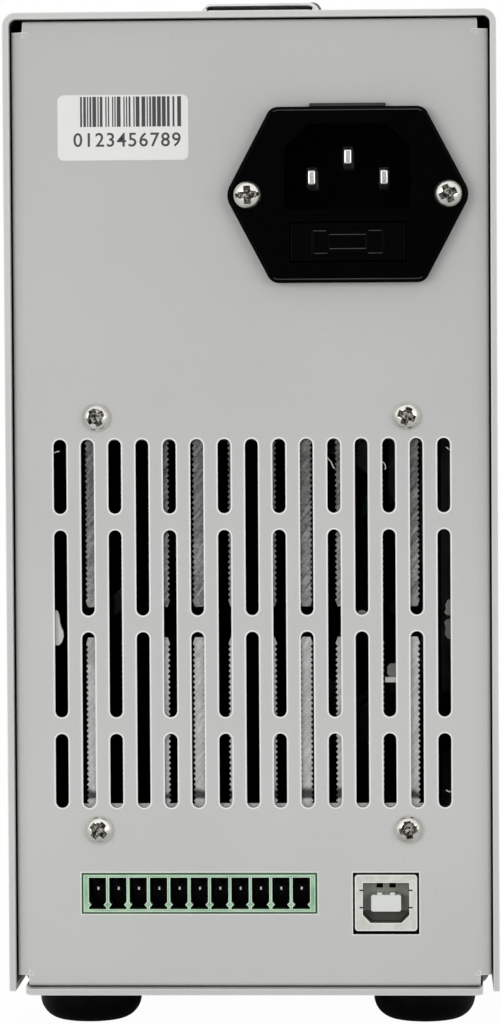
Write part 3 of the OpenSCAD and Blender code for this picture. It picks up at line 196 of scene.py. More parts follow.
def new_finish(name):
    """An empty material, with its place on the object and its surface direction as wires."""
    material = bpy.data.materials.new(name)
    material.use_nodes = True
    tree = material.node_tree
    shader = tree.nodes["Principled BSDF"]
    place = Wire(tree, tree.nodes.new("ShaderNodeTexCoord").outputs["Object"])
    facing = Wire(tree, tree.nodes.new("ShaderNodeNewGeometry").outputs["Normal"])
    finishes[name] = material

    def dress(**inputs):
        for key, value in inputs.items():
            feed(shader.inputs[key.replace("_", " ")], value)
        return material

    return place, facing, dress


print("the wire class and", len([k for k in dir(Wire) if k.startswith("__")]), "operators are ready")

# %% [markdown]
# ## Painted steel
#
# The cover and the tray are bent from sheet and powder coated in a light warm grey. Powder coat is never
# flat: it has a fine orange-peel skin and slow differences in tone. Light is painted in as well: the panel is
# painted lighter towards the bottom, and a painted highlight runs along the edges. An image could carry that,
# but noise in the object's own coordinates needs no picture and works from every side. The Bevel node finds
# the edges by comparing the rounded surface direction with the flat one. Painted shade makes the inside of the
# case dark: a box in the object's coordinates says what is inside the cover, and on the panel only what faces
# outwards escapes the painted shade.


# %% Powder coat
def shaded_inside(place, facing):
    """1 on the faces inside the cover and the tray, where painted shade goes."""
    x, y, z = axes_of(place)
    low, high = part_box("top_cover")
    within = (x.math("ABSOLUTE", x) < high.x - 0.6 * MM) * (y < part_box("rear_panel")[1].y - 0.3 * MM)
    return within * (z < high.z - 0.6 * MM) * (z > low.z + 1.2 * MM)


def shaded_behind(place, facing):
    """1 on the back of the panel and on the walls of its holes, where painted shade goes, but not on the bends
    round it.
    """
    x, y, z = axes_of(place)
    low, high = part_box("rear_panel")
    flat = (x.math("ABSOLUTE", x) < high.x - 3 * MM) * (z > low.z + 3 * MM) * (z < high.z - 3 * MM)
    return flat * (1 - fade(axes_of(facing)[1], 0.35, 0.65))


LIFT_FROM_Z = 0.133


def powder_coat(name, tone, edge_highlight, edge_mm, highlight_share, shade_where, lift_per_metre=0.0):
    """Paint with a painted highlight along edges, painted shade where the mask says so, and painted light that
    grows lighter per metre downwards.
    """
    place, facing, dress = new_finish(name)
    cloud = noise(place, 14, 3)
    speck = noise(place, 1500, 2)
    peel = noise(place, 700, 2)
    base = blend_colour(fade(cloud, 0.3, 0.7), [c * 0.97 for c in tone], [c * 1.03 for c in tone])
    base = blend_colour(fade(speck, 0.62, 0.75) * 0.25, base, [c * 0.8 for c in tone])
    # Painted highlight: along the edges that the Bevel node finds, the colour is lightened towards the edge tone.
    rounded = place.node("ShaderNodeBevel", {"samples": 6}, {"Radius": edge_mm * MM})
    match = facing.node("ShaderNodeVectorMath", {"operation": "DOT_PRODUCT"}, {0: facing, 1: rounded}, out=1)
    edge = fade(1 - match, 0.01, 0.12)
    base = blend_colour(edge * highlight_share, base, edge_highlight)
    # Painted light: the panel's paint grows lighter per metre below a set height, and darker above it.
    if lift_per_metre:
        low_gain = 1 + lift_per_metre * (LIFT_FROM_Z - axes_of(place)[2])
        base = base.node("ShaderNodeVectorMath", {"operation": "SCALE"}, {0: base, 3: low_gain})
    # Painted shade: where the mask says so, the paint turns dark grey.
    base = blend_colour(shade_where(place, facing), base, rgb(38, 39, 40))
    dress(Base_Color=base, Roughness=0.42 + 0.12 * cloud, Normal=bumped(peel, 0.03, 0.35))


powder_coat("cover_paint", rgb(205, 205, 202), rgb(236, 236, 234), 0.5, 0.7, shaded_inside)
powder_coat("panel_paint", rgb(193, 194, 191), rgb(250, 250, 248), 0.3, 0.9, shaded_behind, 1.0)
print("powder coats:", [n for n in finishes])

# %% [markdown]
# ## Plastics and rubber
#
# Most of the small parts are moulded. One recipe serves them all: a base colour with a slow drift, a grain at
# the scale of the mould's texture, and gloss that changes a little from place to place. Rubber is the same
# recipe with less gloss and a coarser grain.


# %% Moulded finishes
def moulded(name, tone, gloss, grain_mm, depth_mm, specular=0.5, drift=0.12):
    place, _, dress = new_finish(name)
    slow = noise(place, 60, 3)
    grain = noise(place, 1000 / grain_mm, 2)
    low, high = ([c * (1 + s * drift) for c in tone] for s in (-1, 1))
    return dress(Base_Color=blend_colour(fade(slow, 0.3, 0.7), low, high),
                 Roughness=gloss - 0.06 + 0.12 * grain,
                 Specular_IOR_Level=specular,
                 Normal=bumped(grain, depth_mm, 0.4))


MOULDED = {
    "bezel_plastic": (rgb(62, 64, 68), 0.55, 0.5, 0.05),
    "foot_rubber": (rgb(3, 4, 4), 0.45, 0.9, 0.04, 0.05),
    "inlet_plastic": (rgb(2, 2, 2), 0.3, 0.7, 0.01, 0.03),
    "drawer_plastic": (rgb(2, 2, 2), 0.3, 0.7, 0.01, 0.04),
    "nylon_white": (rgb(216, 216, 210), 0.45, 0.8, 0.03, 0.4, 0.05),
    "tongue_plastic": (rgb(226, 228, 224), 0.5, 0.6, 0.02, 0.4, 0.03),
    "fan_plastic": (rgb(14, 14, 15), 0.5, 0.7, 0.03, 0.2),
    "chip_epoxy": (rgb(28, 28, 30), 0.6, 0.3, 0.03),
    "display_plastic": (rgb(46, 47, 50), 0.5, 0.6, 0.03),
    "knob_plastic": (rgb(36, 37, 40), 0.5, 0.5, 0.04),
    "switch_plastic": (rgb(20, 20, 22), 0.35, 0.6, 0.02),
    "red_plastic": (rgb(176, 24, 26), 0.3, 0.8, 0.02),
    "black_plastic": (rgb(20, 20, 22), 0.3, 0.8, 0.02),
    "key_plastic": (rgb(205, 207, 208), 0.5, 0.4, 0.02, 0.4, 0.04),
    "load_key_plastic": (rgb(214, 118, 48), 0.5, 0.4, 0.02, 0.4),
    "print_white": (rgb(226, 227, 226), 0.6, 0.3, 0.01, 0.3, 0.03),
    # Painted highlights: the four bead finishes below are lighter than the surfaces they edge.
    "bead_paint": (rgb(238, 238, 236), 0.4, 0.6, 0.01, 0.4, 0.02),
    "bead_rim": (rgb(214, 214, 212), 0.4, 0.6, 0.01, 0.4, 0.02),
    "bead_tin": (rgb(240, 240, 236), 0.3, 0.6, 0.01, 0.5, 0.02),
    "bead_green": (rgb(214, 238, 216), 0.4, 0.6, 0.01, 0.4, 0.06),
    # Painted shade: a darker green for the skirt in the gap round the header.
    "skirt_green": (rgb(86, 122, 90), 0.5, 0.6, 0.02, 0.3, 0.2),
    # Painted highlight: a grey for thin lines along the edges of black parts.
    "glint_black": (rgb(56, 56, 57), 0.4, 0.5, 0.01, 0.3, 0.25),
    "insert_grey": (rgb(148, 152, 142), 0.5, 0.8, 0.02, 0.3, 0.35),
    # Painted shade: a darker grey for the sill low in the USB mouth.
    "insert_low": (rgb(88, 90, 82), 0.5, 0.8, 0.02, 0.3, 0.2),
    "nylon_grey": (rgb(128, 129, 126), 0.5, 0.8, 0.03, 0.3, 0.4),
    "print_black": (rgb(30, 30, 31), 0.7, 0.2, 0.01, 0.2),
    "label_ink": (rgb(76, 76, 77), 0.7, 0.2, 0.01, 0.2),
    "label_paper": (rgb(232, 233, 230), 0.45, 0.25, 0.01, 0.3, 0.02),
}
for name, recipe in MOULDED.items():
    moulded(name, *recipe)
print(len(MOULDED), "moulded finishes")

# %% [markdown]
# ## Metals
#
# Nickel, chrome and zinc are plating, so they are mirrors with faults: fine scratches, a slight change of
# tint and a rougher patch here and there. Brass and the dull tinned bars take the same recipe with their tints.


# %% Plated finishes
def plated(name, tone, gloss, grain_per_metre, spread=(1, 1, 1), drift=0.12, scratch=0.03):
    place, _, dress = new_finish(name)
    tint = noise(place, 160, 3)
    lines = noise(stretched(place, *spread), grain_per_metre, 3, 0.6)
    low, high = ([c * (1 + s * drift) for c in tone] for s in (-1, 1))
    return dress(Base_Color=blend_colour(fade(tint, 0.3, 0.7), low, high),
                 Metallic=1.0,
                 Roughness=gloss - 0.08 + 0.16 * lines,
                 Normal=bumped(lines, scratch, 0.25))


PLATED = {
    "zinc_sheet": (rgb(196, 199, 200), 0.38, 500, (1, 1, 0.2), 0.1),
    "screw_nickel": (rgb(226, 225, 218), 0.2, 1500, (1, 1, 1), 0.14),
    "handle_chrome": (rgb(244, 245, 245), 0.36, 600, (0.1, 1, 1), 0.03, 0.01),
    "pin_nickel": (rgb(226, 226, 222), 0.32, 1800, (1, 0.1, 1), 0.08),
    "pillar_brass": (rgb(206, 176, 112), 0.28, 900, (1, 1, 0.2)),
    "encoder_metal": (rgb(200, 200, 198), 0.35, 900, (1, 0.1, 1)),
    "washer_steel": (rgb(214, 213, 208), 0.25, 1200, (1, 1, 1)),
    "bus_copper": (rgb(74, 70, 66), 0.5, 400, (1, 0.1, 1)),
}
for name, recipe in PLATED.items():
    plated(name, *recipe)
print(len(PLATED), "plated finishes")

# %% [markdown]
# ## Shade and wear in the screw heads
#
# The punch leaves the cross of a screw rough. The recess is dark with painted shade, and has bright
# crumbs where a driver has scraped the plating.

# %% Recess finish
place, _, dress = new_finish("recess_shade_and_wear")
crumbs = noise(place, 1500, 4, 0.7)
# Painted shade: the recess is nearly black, with bright crumbs of wear.
dress(Base_Color=blend_colour(fade(crumbs, 0.44, 0.62), rgb(16, 15, 12), rgb(206, 204, 192)), Metallic=0.5,
      Roughness=0.35 + 0.2 * crumbs, Normal=bumped(crumbs, 0.1, 0.6))
print("recess finish made")

# %% [markdown]
# ## Heatsinks
#
# The fins are extruded with toothed sides, coated black, and then sawn to length. The cut ends are bare and
# scratched by the saw in long slanting strokes; the sides stay black. So the surface direction chooses the
# finish: what faces along Y is a cut end. The lower block came from a brighter bar than the upper one.

# %% Sawn aluminium
place, facing, dress = new_finish("sink_aluminium")
side_y, at_z = axes_of(facing)[1], axes_of(place)[2]
cut = fade(side_y.math("ABSOLUTE", side_y), 0.85, 0.95)
slant = place.node("ShaderNodeVectorRotate", {"rotation_type": "Y_AXIS"}, {"Vector": place, "Angle": 0.65})
strokes = noise(stretched(slant, 1, 1, 0.12), 1900, 5, 0.75)
grit = noise(place, 2600, 3, 0.7)
patches = noise(place, 110, 3)
SINK_MIDDLE = sum(c.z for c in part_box("heatsinks")) / 2
upper = fade(at_z, SINK_MIDDLE - MM, SINK_MIDDLE + MM)
scratched = fade(strokes * 0.65 + grit * 0.35, 0.36, 0.66)
bright = blend_colour(scratched, rgb(176, 177, 175), rgb(218, 219, 217))
dull_low = blend_colour(scratched, rgb(92, 94, 93), rgb(180, 182, 180))
dull_high = blend_colour(scratched, rgb(62, 64, 63), rgb(140, 142, 140))
dull = blend_colour(fade(at_z, SINK_MIDDLE + 8 * MM, SINK_MIDDLE + 32 * MM), dull_low, dull_high)
ends = blend_colour(upper, bright, dull)
ends = blend_colour(fade(patches, 0.55, 0.8) * 0.4, ends, rgb(84, 86, 84))
# Painted shade: a ragged dark band low on the lower fins, just above the base.
ROOT_Z = SINK_MIDDLE - 34.6 * MM
ragged = at_z + 3.4 * MM * (noise(slant, 240, 2) - 0.5)
root_shade = fade(at_z, ROOT_Z, ROOT_Z + 0.6 * MM) * (1 - fade(ragged, ROOT_Z + 1.4 * MM, ROOT_Z + 2.6 * MM))
ends = blend_colour(root_shade * 0.9, ends, rgb(34, 36, 35))
dress(Base_Color=blend_colour(cut, rgb(12, 12, 13), ends),
      Metallic=0.35 * cut,
      Roughness=0.62 - 0.12 * cut,
      Specular_IOR_Level=0.15,
      Normal=bumped(strokes, 0.06, 0.5))
print("heatsinks split at", round(SINK_MIDDLE / MM, 1), "mm")

# %% [markdown]
# ## The green header
#
# Its walls are pale green where they catch the light, and the eleven cells are so deep and narrow that they
# look almost black. Light alone darkens them in Blender too, and painted shade adds to that: the colour
# deepens with the distance behind the header's face.

# %% Header plastic
place, _, dress = new_finish("header_plastic")
at_y = axes_of(place)[1]
HEADER_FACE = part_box("signal_header")[1].y
# Painted shade: the green turns near black with the distance behind the header's face.
cell_shade = fade(HEADER_FACE - at_y, 0.25 * MM, 2.2 * MM)
mottle = noise(place, 260, 3)
wall = blend_colour(fade(mottle, 0.3, 0.7), rgb(130, 172, 136), rgb(168, 206, 172))
dress(Base_Color=blend_colour(cell_shade, wall, rgb(10, 22, 14)),
      Roughness=0.42 + 0.14 * mottle,
      Specular_IOR_Level=0.3,
      Normal=bumped(noise(place, 1200, 2), 0.03, 0.4))
print("header face at y", round(HEADER_FACE / MM, 2), "mm")

# %% [markdown]
# ## The USB shell
#
# The face of the shell is bright tin plate. Its mouth is a deep box in which light dies away. The walls in
# there are dull, and painted shade makes them darker than the face: the surface direction sets the tone, and
# the bottom, which faces up, is the darkest.

# %% Tin plate
place, facing, dress = new_finish("usb_steel")
at_y, side_z = axes_of(place)[1], axes_of(facing)[2]
USB_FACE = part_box("usb_shell")[1].y
inside = fade(USB_FACE - at_y, 0.1 * MM, 0.3 * MM)
stain = noise(stretched(place, 1, 0.2, 1), 500, 4, 0.6)
plate = blend_colour(fade(stain, 0.3, 0.7), rgb(206, 206, 198), rgb(224, 224, 218))
# Painted shade: the walls inside the mouth are darker than the face, and faces that look up darker still.
shaded_walls = blend_colour(fade(stain, 0.35, 0.65), rgb(96, 99, 90), rgb(190, 193, 184))
shaded_walls = blend_colour(fade(side_z, 0.4, 0.6), shaded_walls, rgb(96, 98, 90))
dress(Base_Color=blend_colour(inside, plate, shaded_walls), Metallic=0.25 - 0.2 * inside,
      Roughness=0.45 + 0.15 * stain, Normal=bumped(stain, 0.02, 0.3))
print("shell face at y", round(USB_FACE / MM, 2), "mm")

# %% [markdown]
# ## Boards, glass and the supply
#
# Circuit boards show traces as faint lighter lines under the green mask: cells of a Voronoi texture give
# such a net. The display window is a smoked sheet, the fuse is clear glass with plated ends, and the supply's
# lacquered windings are brown in bands.


# %% Boards, window, fuse and windings
place, _, dress = new_finish("board_laminate")
net = place.node("ShaderNodeTexVoronoi", {"feature": "DISTANCE_TO_EDGE", "distance": "MANHATTAN"},
                 {"Vector": place, "Scale": 240.0})
trace = 1 - fade(net, 0.03, 0.09)
dress(Base_Color=blend_colour(trace, rgb(22, 74, 48), rgb(44, 112, 74)), Roughness=0.35 + 0.1 * noise(place, 300),
      Normal=bumped(trace, 0.04, 0.4))

place, _, dress = new_finish("window_acrylic")
haze = noise(place, 90, 3)
dress(Base_Color=blend_colour(haze, rgb(16, 19, 22), rgb(24, 28, 31)), Roughness=0.05 + 0.06 * haze,
      Coat_Weight=0.5 + 0.2 * haze)

place, _, dress = new_finish("fuse_glass")
fuse_low, fuse_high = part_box("fuse")
FUSE_MIDDLE, FUSE_HALF = (fuse_low.x + fuse_high.x) / 2, (fuse_high.x - fuse_low.x) / 2
offset = axes_of(place)[0] - FUSE_MIDDLE
capped = offset.math("ABSOLUTE", offset) > FUSE_HALF * 0.5
dress(Base_Color=blend_colour(capped, rgb(214, 220, 220), rgb(222, 222, 218)), Metallic=capped,
      Roughness=0.08 + 0.2 * capped, Alpha=0.45 + 0.55 * capped)

place, _, dress = new_finish("supply_mix")
bands = place.node("ShaderNodeTexWave", {"bands_direction": "Z"}, {"Vector": place, "Scale": 260.0,
                                                                   "Distortion": 1.5, "Detail": 2.0})
dress(Base_Color=blend_colour(bands, rgb(66, 48, 30), rgb(104, 78, 46)), Roughness=0.4 + 0.2 * noise(place, 200),
      Normal=bumped(bands, 0.1, 0.5))

place, _, dress = new_finish("strap_vinyl")
pores = place.node("ShaderNodeTexVoronoi", {"feature": "F1"}, {"Vector": place, "Scale": 900.0})
dress(Base_Color=blend_colour(fade(pores, 0.2, 0.7), rgb(20, 20, 21), rgb(34, 34, 35)),
      Roughness=0.5 + 0.15 * pores, Specular_IOR_Level=0.3, Normal=bumped(pores, 0.12, 0.6))
print(len(finishes), "finishes in all")

# %% [markdown]
# ## Each CAD node gets its finish
#
# The record already says which slot each node belongs to, and most finishes carry the slot's name, so one
# loop dresses them. The fuse drawer is the one exception: it shares the inlet's slot but is a shade apart.

# %% Dress the CAD nodes
slot_of = {row["node"]: row["material_slot"] for row in frame["record"]["subparts"]}
OTHER_FINISH = {"fuse_drawer": "drawer_plastic"}
for name, cad in frame["nodes"].items():
    cad.data.materials.clear()
    cad.data.materials.append(finishes[OTHER_FINISH.get(name, slot_of[name])])
print("dressed", len(frame["nodes"]), "CAD nodes")

# %% [markdown]
# ## Soft edges
#
# No moulded or bent part has a perfectly sharp edge: a tiny round catches the light as a thin line. The CAD
# meshes stay as they are, so the round is a modifier on top: the split corners are welded, flat faces are
# joined up, and only the sharp edges are bevelled.


# %% Soften the visible nodes
def soften(name, width_mm, segments=2, angle=40):
    cad = frame["nodes"][name]
    weld = cad.modifiers.new("weld", "WELD")
    weld.merge_threshold = 1e-6
    flat = cad.modifiers.new("flat", "DECIMATE")
    flat.decimate_type = "DISSOLVE"
    flat.angle_limit = math.radians(0.5)
    edge = cad.modifiers.new("edge", "BEVEL")
    edge.width = width_mm * MM
    edge.segments = segments
    edge.limit_method = "ANGLE"
    edge.angle_limit = math.radians(angle)
    edge.use_clamp_overlap = True
    edge.harden_normals = True


SOFT_EDGES = {"inlet_body": 0.15, "inlet_pins": 0.35, "fuse_drawer": 0.2, "front_bezel": 0.3, "handle_caps": 0.15}
for name, width in SOFT_EDGES.items():
    soften(name, width)
print("softened", sorted(SOFT_EDGES))


# %% [markdown]
# ## Mesh helpers
#
# New pieces are made with bmesh: an outline is extruded, a profile is turned round an axis, or a cutter is
# taken away. The helpers below return ordinary objects in the part's frame, ready to ride on a body.


# %% Mesh helpers
def as_object(name, bm, finish, smooth=False):
    bmesh.ops.recalc_face_normals(bm, faces=bm.faces)
    mesh = bpy.data.meshes.new(name)
    bm.to_mesh(mesh)
    bm.free()
    for face in mesh.polygons:
        face.use_smooth = smooth
    made = bpy.data.objects.new(name, mesh)
    scene.collection.objects.link(made)
    mesh.materials.append(finishes[finish])
    return made


def add_slab(bm, outline, depth, to_frame):
    """Extrudes a flat outline by depth and places it with a matrix."""
    low = [bm.verts.new(to_frame @ Vector((x, y, 0))) for x, y in outline]
    high = [bm.verts.new(to_frame @ Vector((x, y, depth))) for x, y in outline]
    bm.faces.new(low[::-1])
    bm.faces.new(high)
    for i in range(len(outline)):
        j = (i + 1) % len(outline)
        bm.faces.new((low[i], low[j], high[j], high[i]))


def ride_slabs(name, finish, body, slabs):
    """One piece from slabs, each an outline, a depth and a matrix, that rides on a body."""
    bm = bmesh.new()
    for outline, depth, to_frame in slabs:
        add_slab(bm, outline, depth, to_frame)
    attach(as_object(name, bm, finish), body)


def box_outline(x0, y0, x1, y1):
    return [(x0, y0), (x1, y0), (x1, y1), (x0, y1)]


def round_outline(width, height, radius, steps=6):
    """A rectangle about zero with round corners."""
    points = []
    for corner, (sx, sy) in enumerate(((1, 1), (-1, 1), (-1, -1), (1, -1))):
        for i in range(steps + 1):
            a = math.pi / 2 * (corner + i / steps)
            points.append((sx * (width / 2 - radius) + radius * math.cos(a),
                           sy * (height / 2 - radius) + radius * math.sin(a)))
    return points


def looking(centre, right, up):
    """A matrix that puts flat x along right, flat y along up, and depth towards the viewer."""
    right, up = Vector(right), Vector(up)
    made = Matrix((right, up, right.cross(up))).transposed().to_4x4()
    made.translation = centre
    return made


def applied(made):
    """Bakes an object's modifiers into its mesh."""
    bpy.context.view_layer.update()
    shape = bpy.data.meshes.new_from_object(made.evaluated_get(bpy.context.evaluated_depsgraph_get()))
    made.modifiers.clear()
    made.data = shape
    return made


BEHIND = ((-1, 0, 0), (0, 0, 1))
FRONT = ((1, 0, 0), (0, 0, 1))
print("mesh helpers ready")

# %% [markdown]
# ## The sticker
#
# A small white sticker with rounded corners sits above the vents. It carries plain bars and the ten digits in
# order. A texture could draw the print, but thin meshes stay sharp at any distance. The print stands off the
# paper by a few hundredths of a millimetre.

# %% Sticker
PANEL_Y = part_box("rear_panel")[1].y
STICKER_W, STICKER_H, STICKER_T = 25.3 * MM, 12.6 * MM, 0.1 * MM
STICKER_AT = Vector((24.43 * MM, PANEL_Y, 174.9 * MM))
PRINT_T = 0.03 * MM
sticker_face = looking(STICKER_AT, *BEHIND)
print_face = looking(STICKER_AT + Vector((0, STICKER_T - PRINT_T / 3, 0)), *BEHIND)
ride_slabs("sticker_paper", "label_paper", "chassis",
           [(round_outline(STICKER_W, STICKER_H, 1.2 * MM), STICKER_T, sticker_face)])

random.seed(7)
x, bars = -STICKER_W / 2 + 4.4 * MM, []
while x < STICKER_W / 2 - 1.4 * MM:
    width = random.choice((0.24, 0.24, 0.36, 0.5, 0.72, 0.9)) * MM
    bars.append((box_outline(x, 0.15 * MM, x + width, STICKER_H / 2 - 0.35 * MM), PRINT_T, print_face))
    x += width + random.choice((0.22, 0.26, 0.4, 0.56)) * MM
ride_slabs("sticker_bars", "label_ink", "chassis", bars)


def lettering(name, words, height, face, finish, depth, bold=0.0, spread=1.0):
    """Plain characters as a flat mesh, centred on a face."""
    curve = bpy.data.curves.new(name, "FONT")
    curve.body, curve.size, curve.align_x, curve.align_y = words, height * 1.4, "CENTER", "CENTER"
    curve.extrude = depth / 2
    curve.offset, curve.space_character = bold, spread
    curve.resolution_u = 3
    draft = bpy.data.objects.new(name + ".draft", curve)
    scene.collection.objects.link(draft)
    bpy.context.view_layer.update()
    mesh = bpy.data.meshes.new_from_object(draft.evaluated_get(bpy.context.evaluated_depsgraph_get()))
    bpy.data.objects.remove(draft)
    mesh.materials.clear()
    mesh.materials.append(finishes[finish])
    mesh.transform(face @ Matrix.Translation((0, 0, depth / 2)))
    mesh.name = name
    made = bpy.data.objects.new(name, mesh)
    scene.collection.objects.link(made)
    return made


digits_face = print_face @ Matrix.Translation((0.8 * MM, -2.5 * MM, 0))
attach(lettering("sticker_digits", "0123456789", 2.7 * MM, digits_face, "label_ink", PRINT_T,
                  bold=0.035 * MM, spread=1.12), "chassis")
print("sticker with", len(bars), "bars")

# %% [markdown]
# ## Edges of the punched holes
#
# Where a hole is punched before painting, surface tension draws the coat into a fine bead round it. The thin
# bright line that outlines each slot is a painted highlight on that bead. The Bevel node can lighten an edge,
# but a bead has a real shape. The holes are read from the CAD panel: the edges of its flat outer face that only
# one triangle of the face uses. A strip with a raised middle then follows each loop. The sockets and the rim get
# such painted highlights too: bright tin round the shell, pale green round the header's cells, grey along the
# level edges of the inlet's flange, and a light line inside the rim.


# %% Beads
def face_loops(cad, y):
    """The closed loops of points that bound the flat face at y, with the sheet on their left."""
    bm = bmesh.new()
    bm.from_mesh(cad.data)
    bmesh.ops.remove_doubles(bm, verts=bm.verts, dist=1e-6)
    flat = {f for f in bm.faces if f.normal.y > 0.99 and abs(f.calc_center_median().y - y) < 1e-5}
    following = {}
    for face in flat:
        for loop in face.loops:
            if sum(f in flat for f in loop.edge.link_faces) == 1:
                following[loop.vert.co.to_tuple(7)] = loop.link_loop_next.vert.co.to_tuple(7)
    bm.free()
    loops = []
    while following:
        start = next(iter(following))
        points = [start]
        while points[-1] in following:
            points.append(following.pop(points[-1]))
        if points[-1] == start and len(points) > 4:
            loops.append([Vector(p) for p in points[:-1]])
    return loops


def beads_along(name, loops, width, finish, keep=lambda start, end: True):
    """A strip with a raised middle along each loop, or along those runs of it that keep accepts."""
    bm = bmesh.new()
    profile = [(0.0, 0.0), (width / 3, 0.04 * MM), (width, 0.002 * MM)]
    for loop in loops:
        rings = []
        for i, point in enumerate(loop):
            along = (loop[(i + 1) % len(loop)] - point).normalized() + (point - loop[i - 1]).normalized()
            inward = Vector((0, 1, 0)).cross(along).normalized()
            rings.append([bm.verts.new(point + inward * off + Vector((0, up, 0))) for off, up in profile])
        for low, high in zip(rings, rings[1:] + rings[:1]):
            if keep(low[0].co, high[0].co):
                for k in range(len(profile) - 1):
                    bm.faces.new((low[k], low[k + 1], high[k + 1], high[k]))
    loose = [v for v in bm.verts if not v.link_faces]
    bmesh.ops.delete(bm, geom=loose, context="VERTS")
    made = as_object(name, bm, finish, smooth=True)
    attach(made, "chassis")
    return len(loops)


def span(loop, axis):
    return max(p[axis] for p in loop) - min(p[axis] for p in loop)


def level(start, end):
    return abs(end.x - start.x) > 0.8 * (end - start).length


def on_rim_inside(start, end):
    return max(abs(start.x), abs(end.x)) < RIM.x - 0.9 * MM and max(start.z, end.z) < RIM.z - 0.9 * MM


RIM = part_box("top_cover")[1]
INLET_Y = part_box("inlet_body")[1].y
panel_loops = face_loops(frame["nodes"]["rear_panel"], PANEL_Y)
slots = [loop for loop in panel_loops if 6 * MM < span(loop, 2) < 60 * MM and span(loop, 0) < 60 * MM]
shell_loops = face_loops(frame["nodes"]["usb_shell"], USB_FACE)
cell_loops = face_loops(frame["nodes"]["signal_header"], HEADER_FACE)
flange_loops = [max(face_loops(frame["nodes"]["inlet_body"], INLET_Y), key=lambda loop: span(loop, 0))]
# The beads carry painted highlights: each finish is lighter than the surface it edges.
print("beads:", beads_along("hole_highlights", slots, 0.3 * MM, "bead_paint"), "holes,",
      beads_along("shell_highlights", shell_loops, 0.22 * MM, "bead_tin"), "shell edges,",
      beads_along("cell_highlights", cell_loops, 0.2 * MM, "bead_green"), "cell edges,",
      beads_along("flange_glints", flange_loops, 0.18 * MM, "glint_black", level), "flange,",
      beads_along("rim_highlights", face_loops(frame["nodes"]["top_cover"], RIM.y), 0.3 * MM, "bead_rim",
                  on_rim_inside), "rim")

# %% [markdown]
# ## Tight folds round the panel
#
# A press folds the edges of the panel over a sharp bar, so the real folds are tighter than the bends of the
# CAD sheet, and the dark gap round the panel is thin. One strip with a small round edge runs along each side
# and leaves the reliefs in the corners open. It lies a hair behind the panel's face and has the same paint; the
# upright strips lie a little deeper than the level ones, so that no two faces share a plane.

# %% Folds
FOLD_R, FOLD_OUT, FOLD_IN, FOLD_DEEP, FOLD_END = 0.7 * MM, 0.25 * MM, 2.8 * MM, 3.5 * MM, 1.9 * MM
arc = [(FOLD_OUT - FOLD_R * (1 - math.cos(a)), -FOLD_R * (1 - math.sin(a)))
       for a in (math.pi / 2 * i / 6 for i in range(7))]
fold_outline = [(FOLD_OUT, -FOLD_DEEP)] + arc + [(-FOLD_IN, 0), (-FOLD_IN, -FOLD_DEEP)]
low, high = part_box("rear_panel")
middle = (low + high) / 2
strips = []
for out in (Vector((1, 0, 0)), Vector((-1, 0, 0)), Vector((0, 0, 1)), Vector((0, 0, -1))):
    along = out.cross(Vector((0, 1, 0)))
    reach = abs(out.dot(high - low)) / 2
    length = abs(along.dot(high - low)) - 2 * FOLD_END
    behind = (0.005 + 0.01 * abs(out.x)) * MM
    start = Vector((middle.x, PANEL_Y - behind, middle.z)) + out * reach - along * length / 2
    strips.append((fold_outline, length, looking(start, out, (0, 1, 0))))
ride_slabs("panel_folds", "panel_paint", "chassis", strips)
print(len(strips), "folds, gap", round((RIM.z - high.z) / MM, 2), "mm under the cover's top before them")

# %% [markdown]
# ## Screw heads
#
# Six nickel screws show on the back. Their domed heads have a cross recess that narrows as it goes down, and
# one of the inlet's two has a straight slot as well. The dome is turned from a profile, and a tapered cross is
# cut from it with a Boolean, as a punch would press it. Drivers have worn a shallow dip round most crosses, which
# is cut in the same way.


# %% Screws on the back
def turned_profile(bm, profile, to_frame, steps=40):
    """Turns (radius, height) points round the height axis."""
    rings = []
    for radius, height in profile:
        if radius == 0:
            rings.append([bm.verts.new(to_frame @ Vector((0, 0, height)))])
        else:
            rings.append([bm.verts.new(to_frame @ Vector((radius * math.cos(a), radius * math.sin(a), height)))
                          for a in (2 * math.pi * i / steps for i in range(steps))])
    for low, high in zip(rings, rings[1:]):
        for i in range(steps):
            corners = [low[i % len(low)], low[(i + 1) % len(low)], high[(i + 1) % len(high)], high[i % len(high)]]
            bm.faces.new(list(dict.fromkeys(corners)))


def cut_away(made, cutter):
    """Takes the cutter away; the new faces get the cutter's finish."""
    tool = made.modifiers.new("cut", "BOOLEAN")
    tool.object, tool.operation, tool.solver = cutter, "DIFFERENCE", "EXACT"
    tool.material_mode = "TRANSFER"
    applied(made)
    bpy.data.objects.remove(cutter)
    return made


def tapered_blade(bm, length, width, floor, top, to_frame):
    """One arm of a cross punch, narrow below and wide above."""
    low = [to_frame @ Vector((sx * length * 0.22, sy * width * 0.35, floor)) for sx, sy in
           ((-1, -1), (1, -1), (1, 1), (-1, 1))]
    high = [to_frame @ Vector((sx * length / 2, sy * width / 2, top)) for sx, sy in
            ((-1, -1), (1, -1), (1, 1), (-1, 1))]
    low, high = ([bm.verts.new(p) for p in ring] for ring in (low, high))
    bm.faces.new(low[::-1])
    bm.faces.new(high)
    for i in range(4):
        j = (i + 1) % 4
        bm.faces.new((low[i], low[j], high[j], high[i]))


HEAD_R, HEAD_H, SHANK_R, SHANK_L = 2.7 * MM, 1.9 * MM, 1.5 * MM, 8 * MM


